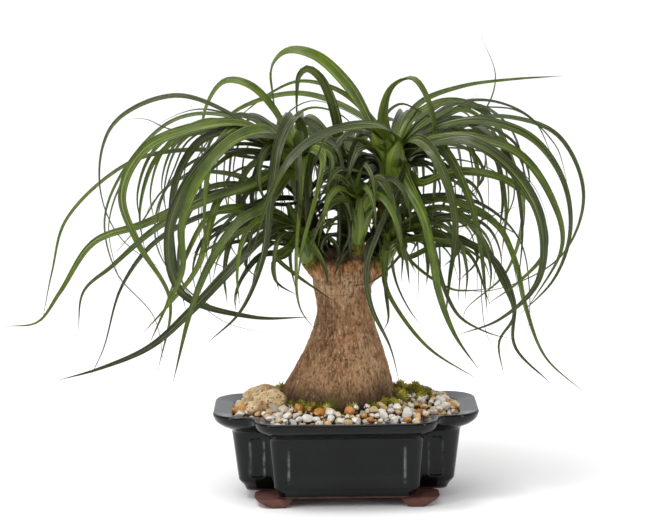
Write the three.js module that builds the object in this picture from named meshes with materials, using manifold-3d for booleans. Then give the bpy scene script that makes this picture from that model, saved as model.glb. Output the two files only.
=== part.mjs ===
// A ponytail palm with a bottle-shaped trunk and six leafy heads, grown as a bonsai
// in a lobed ceramic pot. Millimetres, +Z up, the photographed front faces -Y.

import * as THREE from 'three';
import { mergeVertices } from 'three/addons/utils/BufferGeometryUtils.js';
import Module from 'manifold-3d';

const wasm = await Module();
wasm.setup();

// Driving dimensions of the pot, an eight inch bonsai pot
const POT_LENGTH = 203.2;
const POT_DEPTH = 150;
const SIDE_LOBE_DEPTH = 94;
const FRONT_LOBE_WIDTH = 138;
const FRONT_BOW = 2;
const SIDE_CORNER = 24;
const FRONT_CORNER = 19.6;
const NOTCH_FILLET = 8;
const SMALLEST_FILLET = 3;
const SMALLEST_CORNER = 6;
const CORNER_STEPS = 4;
const NOTCH_STEPS = 2;

// The pot's wall as [inset from the rim's outline, height], up the outside and down the inside
const POT_WALL = [
  [24.8, 7], [23, 10.5], [19.2, 15], [14.4, 54], [11.8, 56.3], [6.5, 58.6], [2, 62.5],
  [0, 67.4], [1.2, 69.1], [14.4, 66.6], [15.6, 65.4], [20, 50], [25, 17], [28, 13.5],
];
const WALL_FOOT = POT_WALL[2];
const WALL_TOP = POT_WALL[3];
const INNER_LIP = 10;
const DRAIN_HOLE_RADIUS = 6;
const DRAIN_HOLE_X = 42;
const DRAIN_HOLE_SIDES = 14;
// Sunk panels on the walls: one on each face and end, and one beside each notch
const PANEL_RECESS = 0.9;
const PANEL_BOTTOM = 18.5;
const PANEL_TOP = 49.5;
const PANEL_CORNER = 3;
const PANEL_CUTTER_DEPTH = 6;
const FACE_PANEL_HALF = 43.5;
const END_PANEL_HALF = 13.5;
const CHEEK_PANEL_HALF = 5.2;
const CHEEK_PANEL_X = 67.8;

// The feet are tapered blocks under the notches: [half length, half depth, centre x, centre y, z]
const FOOT_LEVELS = [
  [6.5, 7.5, 52.5, 44, 0], [9, 9.5, 53.2, 42.5, 2], [12.6, 13, 54.6, 39, 4.8], [14.5, 15.5, 55.5, 35.5, 6.7],
];

const GAP = 0.3;
const SLIVER = 0.04;
const MERGE_TOLERANCES = [1e-5, 1e-4, 1e-3, 4e-3];
const SOIL_TOP = 60;
// The gravel is heaped from the wall towards the trunk
const GRAVEL_TOP = 62.6;
const HEAP_HEIGHT = 8.5;
const HEAP_WIDTH = 16;

// Trunk levels as [height, radius, centre x], with the flat saw cut at the top
const TRUNK_LEVELS = [
  [28, 20, -4], [38, 33, -5], [52, 41, -5], [64, 44, -5.6], [74, 43.8, -5.8], [83, 41.8, -5.5],
  [92, 38.7, -4.1], [102, 34.7, -2.5], [112, 30.3, -1.3], [122, 26.3, -0.3], [133, 23, 0],
  [143, 21.2, 0], [151, 21, -0.6], [159, 21.8, -1], [167, 23.2, -1.2], [175, 24.2, -0.6],
  [183, 24, 0], [187, 21.8, 0.6], [190.5, 19.6, 1],
];
const TRUNK_SIDES = 24;
const TRUNK_FLATNESS = 0.93;

// Each head grows on a woody shoot: [x, y, z, radius] along the shoot from inside the trunk
const HEADS = {
  left_head: {
    shoot: [[-16, 4, 176, 9], [-22, 4, 198, 8], [-28, 4, 215, 7.5], [-31, 3, 228, 7]],
    crown: [-34, 4, 251], bulb: 9,
  },
  right_head: {
    shoot: [[19, 0, 174, 9], [27, 2, 196, 8.5], [33, 4, 214, 8], [36, 5, 228, 7.5]],
    crown: [38, 6, 254], bulb: 9.5,
  },
  left_low_head: {
    shoot: [[-15, -8, 170, 8], [-23, -11, 179, 7], [-27, -13, 184, 6.5]],
    crown: [-30, -14, 199], bulb: 8,
  },
  right_low_head: {
    shoot: [[15, -7, 168, 8], [25, -11, 178, 6.5], [30, -13, 183, 6]],
    crown: [36, -15, 197], bulb: 6.5,
  },
  front_head: {
    shoot: [[6, -13, 178, 7], [9, -20, 189, 6], [10, -24, 199, 5.5]],
    crown: [11, -26, 224], bulb: 7.5,
  },
  back_head: {
    shoot: [[2, 12, 178, 8], [2, 24, 198, 7], [2, 30, 215, 6.5]],
    crown: [2, 32, 240], bulb: 8.5,
  },
};

// Old stubs on the saw cut: [x, y, radius, bottom, top]
const STUBS = [[19, -11, 2.4, 178, 193], [-9, -17, 2.2, 180, 192]];

// Single leaves, as [width, roll of the blade towards the front in degrees, points on its way]
const LEAVES = {
  left_head: [
    [8, 25, [[-77, -8, 289], [-125, -14, 308], [-171, -12, 288], [-184, -5, 245], [-172, 5, 202],
      [-132, 12, 168]]],
    [10, 55, [[-73, -25, 287], [-110, -35, 286], [-147, -40, 271], [-164, -40, 238],
      [-154, -38, 203], [-131, -30, 157], [-142, -25, 101]]],
    [7, 25, [[-89, 15, 290], [-128, 20, 287], [-163, 22, 255], [-183, 22, 213], [-175, 18, 171],
      [-146, 10, 136], [-139, 5, 92]]],
    [7, 30, [[-85, 30, 283], [-125, 38, 278], [-165, 42, 246], [-182, 40, 205], [-173, 35, 153]]],
    [7, 30, [[-71, 5, 259], [-109, 8, 265], [-160, 5, 257], [-210, 0, 215], [-222, -3, 176],
      [-232, -6, 131]]],
    [9, 45, [[-70, -20, 240], [-107, -28, 232], [-149, -30, 214], [-187, -30, 201],
      [-214, -28, 163], [-232, -26, 140], [-257, -25, 137]]],
    [8, 45, [[-73, -38, 242], [-106, -48, 232], [-140, -52, 213], [-172, -52, 186],
      [-194, -50, 167], [-199, -50, 137]]],
    [8, 35, [[-68, 10, 221], [-106, 12, 215], [-145, 12, 194], [-170, 10, 161], [-185, 6, 114],
      [-198, 4, 89]]],
    [11, 60, [[-56, -30, 278], [-83, -55, 279], [-112, -70, 252], [-128, -75, 212],
      [-120, -72, 169], [-70, -64, 149], [-25, -58, 147]]],
    [9, 50, [[-66, -10, 281], [-103, -20, 277], [-122, -25, 253], [-129, -26, 220],
      [-127, -24, 184], [-120, -20, 146]]],
    [9, 55, [[-60, -60, 230], [-78, -75, 221], [-96, -88, 197], [-111, -92, 163], [-127, -88, 104]]],
    [10, 60, [[-58, -45, 285], [-81, -62, 280], [-104, -78, 256], [-118, -86, 221],
      [-118, -88, 188], [-132, -84, 158], [-144, -80, 132]]],
    [8, 50, [[-70, -35, 240], [-90, -45, 237], [-99, -50, 216], [-109, -50, 184], [-130, -48, 157],
      [-151, -45, 134]]],
    [10, 60, [[-31, -12, 276], [-36, -25, 293], [-48, -55, 275], [-54, -70, 240], [-60, -75, 196],
      [-77, -72, 155], [-102, -66, 130]]],
    [9, 35, [[-49, 8, 289], [-70, 14, 313], [-89, 20, 316], [-104, 26, 295], [-108, 30, 256],
      [-110, 30, 193]]],
    [8, 60, [[-29, -25, 262], [-30, -48, 244], [-35, -60, 190], [-33, -58, 154], [-20, -55, 134]]],
    [9, 60, [[-23, -25, 268], [-14, -45, 264], [-19, -62, 239], [-30, -66, 202], [-36, -64, 168]]],
    [9, 60, [[-19, -20, 269], [-8, -35, 265], [-10, -50, 244], [-20, -56, 197]]],
    [8, 40, [[-52, 40, 273], [-76, 60, 276], [-90, 75, 259], [-93, 82, 226], [-82, 82, 178]]],
    [7, 40, [[-44, 45, 277], [-66, 70, 271], [-77, 85, 253], [-79, 92, 225], [-77, 95, 196]]],
    [8, 40, [[-39, 55, 272], [-57, 80, 266], [-67, 100, 244], [-69, 108, 219], [-65, 110, 182]]],
    [7, 30, [[-60, 30, 233], [-84, 48, 241], [-112, 58, 242], [-140, 62, 229], [-157, 62, 205],
      [-182, 55, 177]]],
    [7, 35, [[-61, -15, 237], [-81, -22, 242], [-104, -28, 238], [-121, -32, 206],
      [-121, -30, 169], [-93, -26, 146]]],
    [4, 20, [[-75, 35, 284], [-110, 50, 293], [-138, 58, 284], [-150, 60, 274]]],
    [4, 20, [[-81, -5, 278], [-111, -10, 279], [-133, -12, 284], [-148, -12, 291], [-166, -12, 291]]],
    [6, 30, [[-75, 20, 264], [-118, 30, 252], [-142, 34, 221], [-143, 34, 184], [-99, 28, 133],
      [-58, 24, 119]]],
  ],
  left_low_head: [
    [7, 45, [[-48, -30, 211], [-70, -45, 212], [-92, -55, 203], [-112, -60, 193]]],
    [9, 50, [[-44, -35, 212], [-61, -55, 206], [-88, -75, 182], [-113, -82, 157], [-143, -84, 131],
      [-180, -82, 115], [-212, -80, 106]]],
    [7, 45, [[-45, -20, 190], [-62, -28, 189], [-74, -32, 177], [-82, -33, 160], [-82, -33, 148]]],
    [5, 45, [[-44, -30, 189], [-53, -40, 186], [-51, -46, 172], [-36, -48, 162]]],
    [5, 45, [[-42, -28, 195], [-51, -40, 190], [-37, -44, 177], [-7, -47, 156]]],
    [8, 45, [[-48, -20, 219], [-74, -28, 225], [-98, -32, 221], [-125, -30, 175], [-139, -26, 142]]],
    [7, 40, [[-45, 20, 198], [-69, 45, 211], [-93, 60, 206], [-109, 68, 188], [-114, 68, 132]]],
    [7, 60, [[-22, -28, 195], [-18, -33, 189], [-14, -37, 180], [-12, -38, 166]]],
  ],
  right_head: [
    [13, 60, [[19, -8, 287], [2, -12, 315], [-20, -10, 336], [-40, -5, 340], [-52, 2, 329],
      [-52, 10, 307], [-49, 16, 283]]],
    [11, 60, [[32, -6, 292], [39, -10, 313], [52, -16, 319], [65, -22, 297], [68, -24, 255],
      [65, -22, 199]]],
    [6, 30, [[47, 20, 281], [61, 30, 298], [93, 38, 309], [134, 42, 314], [171, 44, 316]]],
    [6, 30, [[59, 15, 278], [83, 25, 295], [114, 32, 298], [147, 36, 283], [163, 38, 253]]],
    [7, 30, [[62, 0, 277], [89, -2, 286], [126, -4, 288], [162, -6, 274], [181, -8, 230],
      [164, -8, 183], [111, -6, 157], [80, -6, 160]]],
    [9, 45, [[65, -20, 280], [102, -30, 288], [139, -36, 276], [162, -38, 245], [168, -38, 207],
      [157, -36, 171], [130, -32, 141]]],
    [9, 45, [[65, -30, 275], [97, -45, 277], [130, -55, 265], [153, -60, 232], [160, -60, 199],
      [134, -52, 148]]],
    [11, 55, [[64, -40, 272], [93, -58, 276], [123, -70, 256], [143, -76, 220], [141, -74, 175],
      [114, -68, 146], [83, -62, 133]]],
    [9, 45, [[57, -25, 241], [83, -38, 251], [119, -48, 246], [143, -52, 223], [148, -52, 194],
      [130, -48, 171], [105, -44, 152]]],
    [10, 60, [[54, -30, 275], [65, -50, 269], [78, -66, 241], [82, -70, 212], [77, -68, 175],
      [74, -64, 146]]],
    [8, 50, [[65, -20, 275], [79, -38, 263], [92, -48, 235], [100, -52, 202], [106, -48, 147]]],
    [12, 60, [[48, -42, 243], [59, -62, 223], [65, -72, 198], [69, -76, 169], [80, -74, 137],
      [99, -70, 107]]],
    [10, 60, [[46, -25, 254], [38, -45, 239], [25, -62, 214], [15, -68, 185], [18, -66, 157],
      [33, -60, 123], [40, -56, 95]]],
    [10, 50, [[53, 20, 284], [81, 32, 297], [111, 42, 287], [132, 50, 247], [140, 52, 207],
      [127, 48, 163], [94, 42, 132], [96, 40, 118]]],
    [9, 45, [[68, 45, 266], [104, 65, 263], [129, 78, 244], [136, 82, 219], [113, 78, 174]]],
    [7, 40, [[68, 50, 271], [97, 80, 270], [114, 95, 250], [107, 100, 221], [90, 100, 201]]],
    [3, 20, [[77, 60, 270], [101, 75, 276], [117, 82, 293], [122, 84, 315], [111, 86, 345]]],
    [10, 50, [[41, -20, 274], [24, -38, 286], [-6, -55, 285], [-30, -66, 274], [-48, -78, 252],
      [-69, -84, 196]]],
    [8, 35, [[25, 20, 278], [2, 30, 294], [-32, 38, 304], [-67, 42, 298], [-91, 44, 284],
      [-126, 42, 235]]],
    [6, 35, [[23, 45, 284], [-1, 55, 305], [-32, 60, 313], [-57, 62, 303], [-84, 62, 283]]],
  ],
  right_low_head: [
    [9, 45, [[58, 0, 223], [85, -3, 224], [115, -6, 207], [130, -8, 177], [137, -8, 146],
      [153, -6, 104], [185, -4, 74]]],
    [6, 30, [[55, 25, 223], [83, 35, 226], [114, 42, 214], [137, 46, 188], [144, 46, 148],
      [143, 44, 115]]],
    [9, 45, [[61, -20, 220], [83, -32, 219], [101, -40, 201], [116, -44, 171], [127, -44, 142],
      [116, -42, 121], [120, -40, 94]]],
    [8, 45, [[57, -18, 198], [83, -24, 199], [111, -28, 184], [126, -30, 153], [127, -30, 119],
      [156, -26, 88]]],
    [6, 45, [[46, -30, 186], [71, -42, 197], [92, -48, 191], [108, -50, 153]]],
    [5, 50, [[31, -25, 183], [30, -38, 167], [41, -46, 146], [63, -50, 120], [100, -50, 96]]],
    [4, 40, [[36, -5, 180], [40, 0, 161], [49, 4, 142], [58, 6, 129]]],
    [7, 60, [[29, -35, 184], [30, -44, 164], [32, -46, 141], [28, -46, 133]]],
    [7, 50, [[40, -35, 212], [43, -45, 200], [53, -52, 178]]],
    [4, 45, [[46, -30, 195], [40, -44, 188], [22, -52, 173], [1, -52, 168]]],
    [8, 45, [[51, 25, 204], [76, 50, 208], [100, 66, 192], [107, 70, 137]]],
  ],
  front_head: [
    [7, 50, [[6, -32, 242], [1, -45, 255], [-6, -58, 255], [-14, -64, 242]]],
    [7, 50, [[12, -34, 246], [16, -50, 259], [21, -62, 251], [23, -68, 231]]],
    [7, 50, [[1, -45, 232], [-10, -60, 231], [-19, -68, 217], [-25, -70, 199]]],
    [7, 50, [[19, -42, 236], [30, -58, 234], [39, -66, 216], [43, -68, 190]]],
  ],
  back_head: [
    [10, 60, [[-5, 34, 286], [-15, 36, 316], [-27, 38, 325], [-34, 42, 312], [-35, 46, 280]]],
  ],
};

// Further leaves fill each head by a rule: a sector of directions in degrees from +X, seen
// from above, and the least and most of the reach, the rise above the crown and the fall below it
const FILL = {
  left_head: { count: 13, sector: [85, 215], reach: [85, 125], rise: [22, 42], fall: [30, 90] },
  right_head: { count: 14, sector: [-35, 95], reach: [85, 125], rise: [20, 40], fall: [30, 90] },
  left_low_head: { count: 7, sector: [100, 235], reach: [60, 95], rise: [12, 24], fall: [30, 60] },
  right_low_head: { count: 7, sector: [-55, 80], reach: [60, 95], rise: [12, 24], fall: [30, 60] },
  front_head: { count: 5, sector: [195, 345], reach: [35, 50], rise: [16, 26], fall: [5, 25] },
  back_head: { count: 12, sector: [35, 145], reach: [85, 125], rise: [25, 42], fall: [20, 60] },
};
const FILL_WIDTH = [6, 9];
const FILL_ROLL = [20, 50];
const FILL_SWEEP = 24;
// The way of a filling leaf: [part of the reach, part of the rise, part of the fall]
const ARCH = [[0.3, 0.75, 0], [0.62, 1, 0], [0.88, 0.7, 0.12], [1, 0.2, 0.5], [0.97, 0, 1]];

const BULB_COLLAR = 3;
const LEAF_STEP = 32;
const LEAF_LEAST_STEPS = 5;
const LEAF_MOST_STEPS = 11;
const BLADE_THICKNESS = 0.9;
const KEEL_PER_WIDTH = 0.14;
// A leaf that would cross another is bent nearer or further by one of these, the first that clears
const BENDS = [0, 3, -3, 6, -6, 9, -9, 12, -12, 16, -16, 20, -20, 25, -25];
const LEAF_CLEARANCE = 0.6;
const FREE_FROM = 0.34;

const PEBBLE_PITCH = 12.8;
const PEBBLE_RADIUS = [5, 7.2];
const PEBBLE_HEIGHT = [4.5, 7.5];
const PEBBLE_BEDDING = 0.8;
const PEBBLE_SIDES = 5;
const PEBBLE_SEED = 11;
const TRUNK_BASE_X = -4.5;
const TRUNK_BASE_RADIUS = 42;
const LEAF_SEED = 5;
const STONE_ROUGHNESS = 0.12;
// Large stones at the left: [x, y, z, radii along x, y and z, turn in degrees]
const STONES = {
  stone_back: [-64, 9.5, 74.3, 14.5, 11, 9.5, 8],
  stone_front: [-58, -13, 74, 10, 8.2, 8.8, -20],
  stone_speckled: [-69.5, -24.5, 71.5, 6.8, 5.4, 6, 20],
};

// One standard material for each finish
const FINISHES = {
  glaze: { color: 0x232626, roughness: 0.12 },
  bare_clay: { color: 0x553732, roughness: 0.8 },
  soil: { color: 0x33261c, roughness: 0.95 },
  gravel: { color: 0xd8d2c4, roughness: 0.6 },
  stone: { color: 0xbfa27c, roughness: 0.7 },
  bark: { color: 0x96704f, roughness: 0.85 },
  leaf: { color: 0x50692a, roughness: 0.45 },
};

const TURN = 2 * Math.PI;
const DEGREE = Math.PI / 180;
const UP = new THREE.Vector3(0, 0, 1);

// A repeatable draw between 0 and 1
function drawFrom(seed) {
  let state = seed;
  return () => {
    state = (state * 16807) % 2147483647;
    return state / 2147483647;
  };
}

function between([low, high], part) {
  return low + (high - low) * part;
}

// A closed surface through rings of points, each ring counter-clockwise seen from its far end
function loft(rings) {
  const size = rings[0].length;
  const points = rings.flat();
  const triangles = [];
  for (let level = 0; level + 1 < rings.length; level += 1) {
    for (let side = 0; side < size; side += 1) {
      const a = level * size + side;
      const b = level * size + ((side + 1) % size);
      triangles.push(a, b, b + size, a, b + size, a + size);
    }
  }
  const first = points.length;
  points.push(middle(rings[0]), middle(rings.at(-1)));
  const top = (rings.length - 1) * size;
  for (let side = 0; side < size; side += 1) {
    const next = (side + 1) % size;
    triangles.push(first, next, side, first + 1, top + side, top + next);
  }
  return surface(points, triangles);
}

function middle(ring) {
  const sum = ring.reduce((total, point) => total.add(point), new THREE.Vector3());
  return sum.divideScalar(ring.length);
}

function surface(points, triangles) {
  const geometry = new THREE.BufferGeometry();
  geometry.setFromPoints(points);
  geometry.setIndex(triangles);
  return geometry;
}

function toSolid(geometry) {
  const bare = geometry.clone();
  bare.deleteAttribute('normal');
  bare.deleteAttribute('uv');
  const merged = mergeVertices(bare, 1e-4);
  return new wasm.Manifold(new wasm.Mesh({
    numProp: 3,
    vertProperties: new Float32Array(merged.attributes.position.array),
    triVerts: new Uint32Array(merged.index.array),
  }));
}

function toGeometry(solid) {
  const { vertProperties, triVerts } = solid.getMesh();
  const geometry = new THREE.BufferGeometry();
  geometry.setAttribute('position', new THREE.BufferAttribute(vertProperties, 3));
  geometry.setIndex(new THREE.BufferAttribute(triVerts, 1));
  geometry.computeVertexNormals();
  return geometry;
}

// The outer body of a solid, without slivers, loose scraps or hollows that the joining sealed
function wholeBody(solid) {
  const bodies = solid.simplify(SLIVER).decompose();
  return bodies.reduce((best, body) => (body.volume() > best.volume() ? body : best));
}

// Whether each edge joins two faces and no more, also once points this close are one
function edgesAreSound(solid, tolerance) {
  const { vertProperties, triVerts } = solid.getMesh();
  const keys = new Map();
  const merged = [];
  for (let start = 0; start < vertProperties.length; start += 3) {
    const place = Array.from(vertProperties.slice(start, start + 3), (v) => Math.round(v / tolerance));
    const key = place.join();
    if (!keys.has(key)) keys.set(key, keys.size);
    merged.push(keys.get(key));
  }
  const uses = new Map();
  for (let start = 0; start < triVerts.length; start += 3) {
    const corners = Array.from(triVerts.slice(start, start + 3), (vertex) => merged[vertex]);
    if (new Set(corners).size < 3) continue;
    corners.forEach((corner, index) => {
      const next = corners[(index + 1) % 3];
      const edge = `${Math.min(corner, next)} ${Math.max(corner, next)}`;
      uses.set(edge, (uses.get(edge) ?? 0) + 1);
    });
  }
  return [...uses.values()].every((count) => count === 2);
}

function arc(x, y, radius, from, to, steps) {
  const points = [];
  for (let step = 0; step <= steps; step += 1) {
    const angle = (from + ((to - from) * step) / steps) * DEGREE;
    points.push([x + radius * Math.cos(angle), y + radius * Math.sin(angle)]);
  }
  return points;
}

// The half sizes and corners of the two crossing lobes, drawn in by the inset
function potLobes(inset) {
  return {
    endX: POT_LENGTH / 2 - inset,
    endY: SIDE_LOBE_DEPTH / 2 - inset,
    frontX: FRONT_LOBE_WIDTH / 2 - 0.75 * inset,
    frontY: POT_DEPTH / 2 - inset,
    sideCorner: Math.max(SMALLEST_CORNER, SIDE_CORNER - 0.7 * inset),
    frontCorner: Math.max(SMALLEST_CORNER, FRONT_CORNER - 0.7 * inset),
  };
}

// One level of the pot: a long lobe and a wide lobe crossing, with a filleted notch between
function potOutline(inset, z) {
  const { endX, endY, frontX, frontY, sideCorner, frontCorner } = potLobes(inset);
  const fillet = Math.max(SMALLEST_FILLET, NOTCH_FILLET - 0.35 * inset);
  const bow = FRONT_BOW * Math.max(0, 1 - inset / WALL_TOP[0]);
  const quarter = [
    ...arc(endX - sideCorner, endY - sideCorner, sideCorner, 0, 90, CORNER_STEPS),
    ...arc(frontX + fillet, endY + fillet, fillet, 270, 180, NOTCH_STEPS),
    ...arc(frontX - frontCorner, frontY - frontCorner, frontCorner, 0, 90, CORNER_STEPS),
  ];
  const ring = [[endX, 0]];
  ring.push(...quarter, [0, frontY + bow]);
  ring.push(...quarter.map(([x, y]) => [-x, y]).reverse(), [-endX, 0]);
  ring.push(...quarter.map(([x, y]) => [-x, -y]), [0, -frontY - bow]);
  ring.push(...quarter.map(([x, y]) => [x, -y]).reverse());
  return ring.map(([x, y]) => new THREE.Vector3(x, y, z));
}

function insetAt(height, lower, upper) {
  return lower[0] + ((upper[0] - lower[0]) * (height - lower[1])) / (upper[1] - lower[1]);
}

// The inset of the pot's inner wall at a height just under its lip
function insideInset(height) {
  return insetAt(height, POT_WALL[INNER_LIP + 1], POT_WALL[INNER_LIP]);
}

// A rounded cutter lying on the tilted wall, for one sunk panel
function panelCutter(x, y, facing, halfWidth) {
  const lean = Math.atan((WALL_FOOT[0] - WALL_TOP[0]) / (WALL_TOP[1] - WALL_FOOT[1]));
  const halfHeight = (PANEL_TOP - PANEL_BOTTOM) / 2;
  const outline = new THREE.Shape();
  const cornerX = halfWidth - PANEL_CORNER;
  const cornerY = halfHeight - PANEL_CORNER;
  outline.absarc(cornerX, cornerY, PANEL_CORNER, 0, TURN / 4);
  outline.absarc(-cornerX, cornerY, PANEL_CORNER, TURN / 4, TURN / 2);
  outline.absarc(-cornerX, -cornerY, PANEL_CORNER, TURN / 2, (3 * TURN) / 4);
  outline.absarc(cornerX, -cornerY, PANEL_CORNER, (3 * TURN) / 4, TURN);
  const cutter = new THREE.ExtrudeGeometry(outline, {
    depth: PANEL_CUTTER_DEPTH, bevelEnabled: false, curveSegments: 2,
  });
  cutter.translate(0, 0, -PANEL_RECESS);
  cutter.rotateX(TURN / 4 + lean);
  cutter.rotateZ(facing);
  cutter.translate(x, y, (PANEL_TOP + PANEL_BOTTOM) / 2);
  return toSolid(cutter);
}

function makePot() {
  let pot = toSolid(loft(POT_WALL.map(([inset, z]) => potOutline(inset, z))));
  const inset = insetAt((PANEL_TOP + PANEL_BOTTOM) / 2, WALL_FOOT, WALL_TOP);
  const frontY = POT_DEPTH / 2 - inset;
  const sideY = SIDE_LOBE_DEPTH / 2 - inset;
  const endX = POT_LENGTH / 2 - inset;
  const cutters = [
    panelCutter(0, -frontY, 0, FACE_PANEL_HALF),
    panelCutter(0, frontY, TURN / 2, FACE_PANEL_HALF),
    panelCutter(endX, 0, TURN / 4, END_PANEL_HALF),
    panelCutter(-endX, 0, -TURN / 4, END_PANEL_HALF),
    panelCutter(CHEEK_PANEL_X, -sideY, 0, CHEEK_PANEL_HALF),
    panelCutter(-CHEEK_PANEL_X, -sideY, 0, CHEEK_PANEL_HALF),
    panelCutter(CHEEK_PANEL_X, sideY, TURN / 2, CHEEK_PANEL_HALF),
    panelCutter(-CHEEK_PANEL_X, sideY, TURN / 2, CHEEK_PANEL_HALF),
  ];
  const floorTop = POT_WALL.at(-1)[1];
  for (const x of [DRAIN_HOLE_X, -DRAIN_HOLE_X]) {
    const hole = new THREE.CylinderGeometry(
      DRAIN_HOLE_RADIUS, DRAIN_HOLE_RADIUS, 2 * floorTop, DRAIN_HOLE_SIDES);
    hole.rotateX(TURN / 4);
    hole.translate(x, 0, floorTop);
    cutters.push(toSolid(hole));
  }
  for (const cutter of cutters) pot = pot.subtract(cutter);
  return pot;
}

function roundedRectangle(halfX, halfY, centreX, centreY, z) {
  const corner = 0.6 * Math.min(halfX, halfY);
  const ring = [
    ...arc(halfX - corner, halfY - corner, corner, 0, 90, 2),
    ...arc(corner - halfX, halfY - corner, corner, 90, 180, 2),
    ...arc(corner - halfX, corner - halfY, corner, 180, 270, 2),
    ...arc(halfX - corner, corner - halfY, corner, 270, 360, 2),
  ];
  return ring.map(([x, y]) => new THREE.Vector3(centreX + x, centreY + y, z));
}

function makeFoot(sideX, sideY) {
  return loft(FOOT_LEVELS.map(([halfX, halfY, x, y, z]) => (
    roundedRectangle(halfX, halfY, sideX * x, sideY * y, z))));
}

// The trunk's cross-section has shallow flutes that fade towards its waist
function trunkRing(z, radius, centreX, grow = 0) {
  const flute = Math.max(0, 1 - Math.abs(z - 66) / 75);
  const squash = THREE.MathUtils.lerp(1, TRUNK_FLATNESS, flute);
  const ring = [];
  for (let side = 0; side < TRUNK_SIDES; side += 1) {
    const angle = (side / TRUNK_SIDES) * TURN;
    const wave = 0.03 * Math.cos(5 * angle + 0.9) + 0.018 * Math.cos(9 * angle + 2.2);
    const reach = radius * (1 + flute * wave) + grow;
    ring.push(new THREE.Vector3(centreX + reach * Math.cos(angle), squash * reach * Math.sin(angle), z));
  }
  return ring;
}

// A tapered tube with its rings square to its path, given as [x, y, z, radius]
function taperedTube(stations, sides) {
  const points = stations.map(([x, y, z]) => new THREE.Vector3(x, y, z));
  const rings = points.map((point, index) => {
    const ahead = points[Math.min(index + 1, points.length - 1)];
    const behind = points[Math.max(index - 1, 0)];
    const direction = ahead.clone().sub(behind).normalize();
    const turn = new THREE.Quaternion().setFromUnitVectors(UP, direction);
    const ring = [];
    for (let side = 0; side < sides; side += 1) {
      const angle = (side / sides) * TURN;
      const spoke = new THREE.Vector3(Math.cos(angle), Math.sin(angle), 0);
      ring.push(spoke.multiplyScalar(stations[index][3]).applyQuaternion(turn).add(point));
    }
    return ring;
  });
  return loft(rings);
}

function makeTrunk() {
  let trunk = toSolid(loft(TRUNK_LEVELS.map(([z, radius, x]) => trunkRing(z, radius, x))));
  for (const { shoot } of Object.values(HEADS)) trunk = trunk.add(toSolid(taperedTube(shoot, 9)));
  for (const [x, y, radius, bottom, top] of STUBS) {
    trunk = trunk.add(toSolid(taperedTube([[x, y, bottom, radius], [x, y, top, radius * 0.8]], 6)));
  }
  return trunk;
}

// The trunk grown by the gap, which leaves its plain hole in the soil and the gravel
function trunkHole() {
  const levels = TRUNK_LEVELS.filter(([z]) => z < 100);
  const rings = levels.map(([z, radius, x]) => trunkRing(z, radius, x, 2 * GAP));
  rings.unshift(rings[0].map((point) => point.clone().setZ(TRUNK_LEVELS[0][0] - GAP)));
  return toSolid(loft(rings));
}

function makeSoil() {
  const inside = POT_WALL.slice(INNER_LIP + 1).reverse();
  const levels = inside.map(([inset, z]) => potOutline(inset + 2 * GAP, z + GAP));
  levels.push(potOutline(insideInset(SOIL_TOP) + 2 * GAP, SOIL_TOP));
  return toSolid(loft(levels)).subtract(trunkHole());
}

// An irregular stone: a finely divided icosahedron with its corners moved in and out
function stoneGeometry(name, grow = 0) {
  const [x, y, z, radiusX, radiusY, radiusZ, turn] = STONES[name];
  const draw = drawFrom(name.length);
  const ball = mergeVertices(bareGeometry(new THREE.IcosahedronGeometry(1, 1)), 1e-3);
  const position = ball.attributes.position;
  const corner = new THREE.Vector3();
  for (let index = 0; index < position.count; index += 1) {
    corner.fromBufferAttribute(position, index).multiplyScalar(1 + STONE_ROUGHNESS * (draw() - 0.5));
    position.setXYZ(index, corner.x * (radiusX + grow), corner.y * (radiusY + grow),
      corner.z * (radiusZ + grow));
  }
  ball.rotateZ(turn * DEGREE);
  ball.translate(x, y, z);
  return ball;
}

function bareGeometry(geometry) {
  geometry.deleteAttribute('normal');
  geometry.deleteAttribute('uv');
  return geometry;
}

// How far a point lies inside a rounded rectangle round the origin, seen from above
function depthInside(x, y, halfX, halfY, corner) {
  const overX = Math.abs(x) - halfX + corner;
  const overY = Math.abs(y) - halfY + corner;
  const outside = Math.hypot(Math.max(overX, 0), Math.max(overY, 0));
  return corner - outside - Math.min(Math.max(overX, overY), 0);
}

// How far a point of the gravel lies inside the pot's mouth
function depthInPot(x, y) {
  const [inset] = POT_WALL[INNER_LIP];
  const lobes = potLobes(inset);
  return Math.max(
    depthInside(x, y, lobes.endX, lobes.endY, lobes.sideCorner),
    depthInside(x, y, lobes.frontX, lobes.frontY, lobes.frontCorner),
  );
}

// The height of the gravel's bed under a pebble
function bedHeight(x, y) {
  return GRAVEL_TOP + HEAP_HEIGHT * THREE.MathUtils.clamp(depthInPot(x, y) / HEAP_WIDTH, 0, 1);
}

// A pebble bedded past its widest level, with a humped top
function pebble(x, y, radius, height, turn, draw) {
  const bed = bedHeight(x, y);
  const ring = (size, z) => {
    const points = [];
    for (let side = 0; side < PEBBLE_SIDES; side += 1) {
      const angle = turn + (side / PEBBLE_SIDES) * TURN;
      const spoke = size * (1 + 0.24 * (draw() - 0.5));
      points.push(new THREE.Vector3(x + spoke * Math.cos(angle), y + 0.86 * spoke * Math.sin(angle), z));
    }
    return points;
  };
  const lean = 0.5 * radius * (draw() - 0.5);
  const crest = ring(0.62 * radius, bed + 0.78 * height);
  crest.forEach((point) => point.setX(point.x + lean));
  const tip = crest.map(() => middle(crest).setZ(bed + height));
  return loft([ring(radius, bed - PEBBLE_BEDDING), crest, tip]);
}

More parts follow.
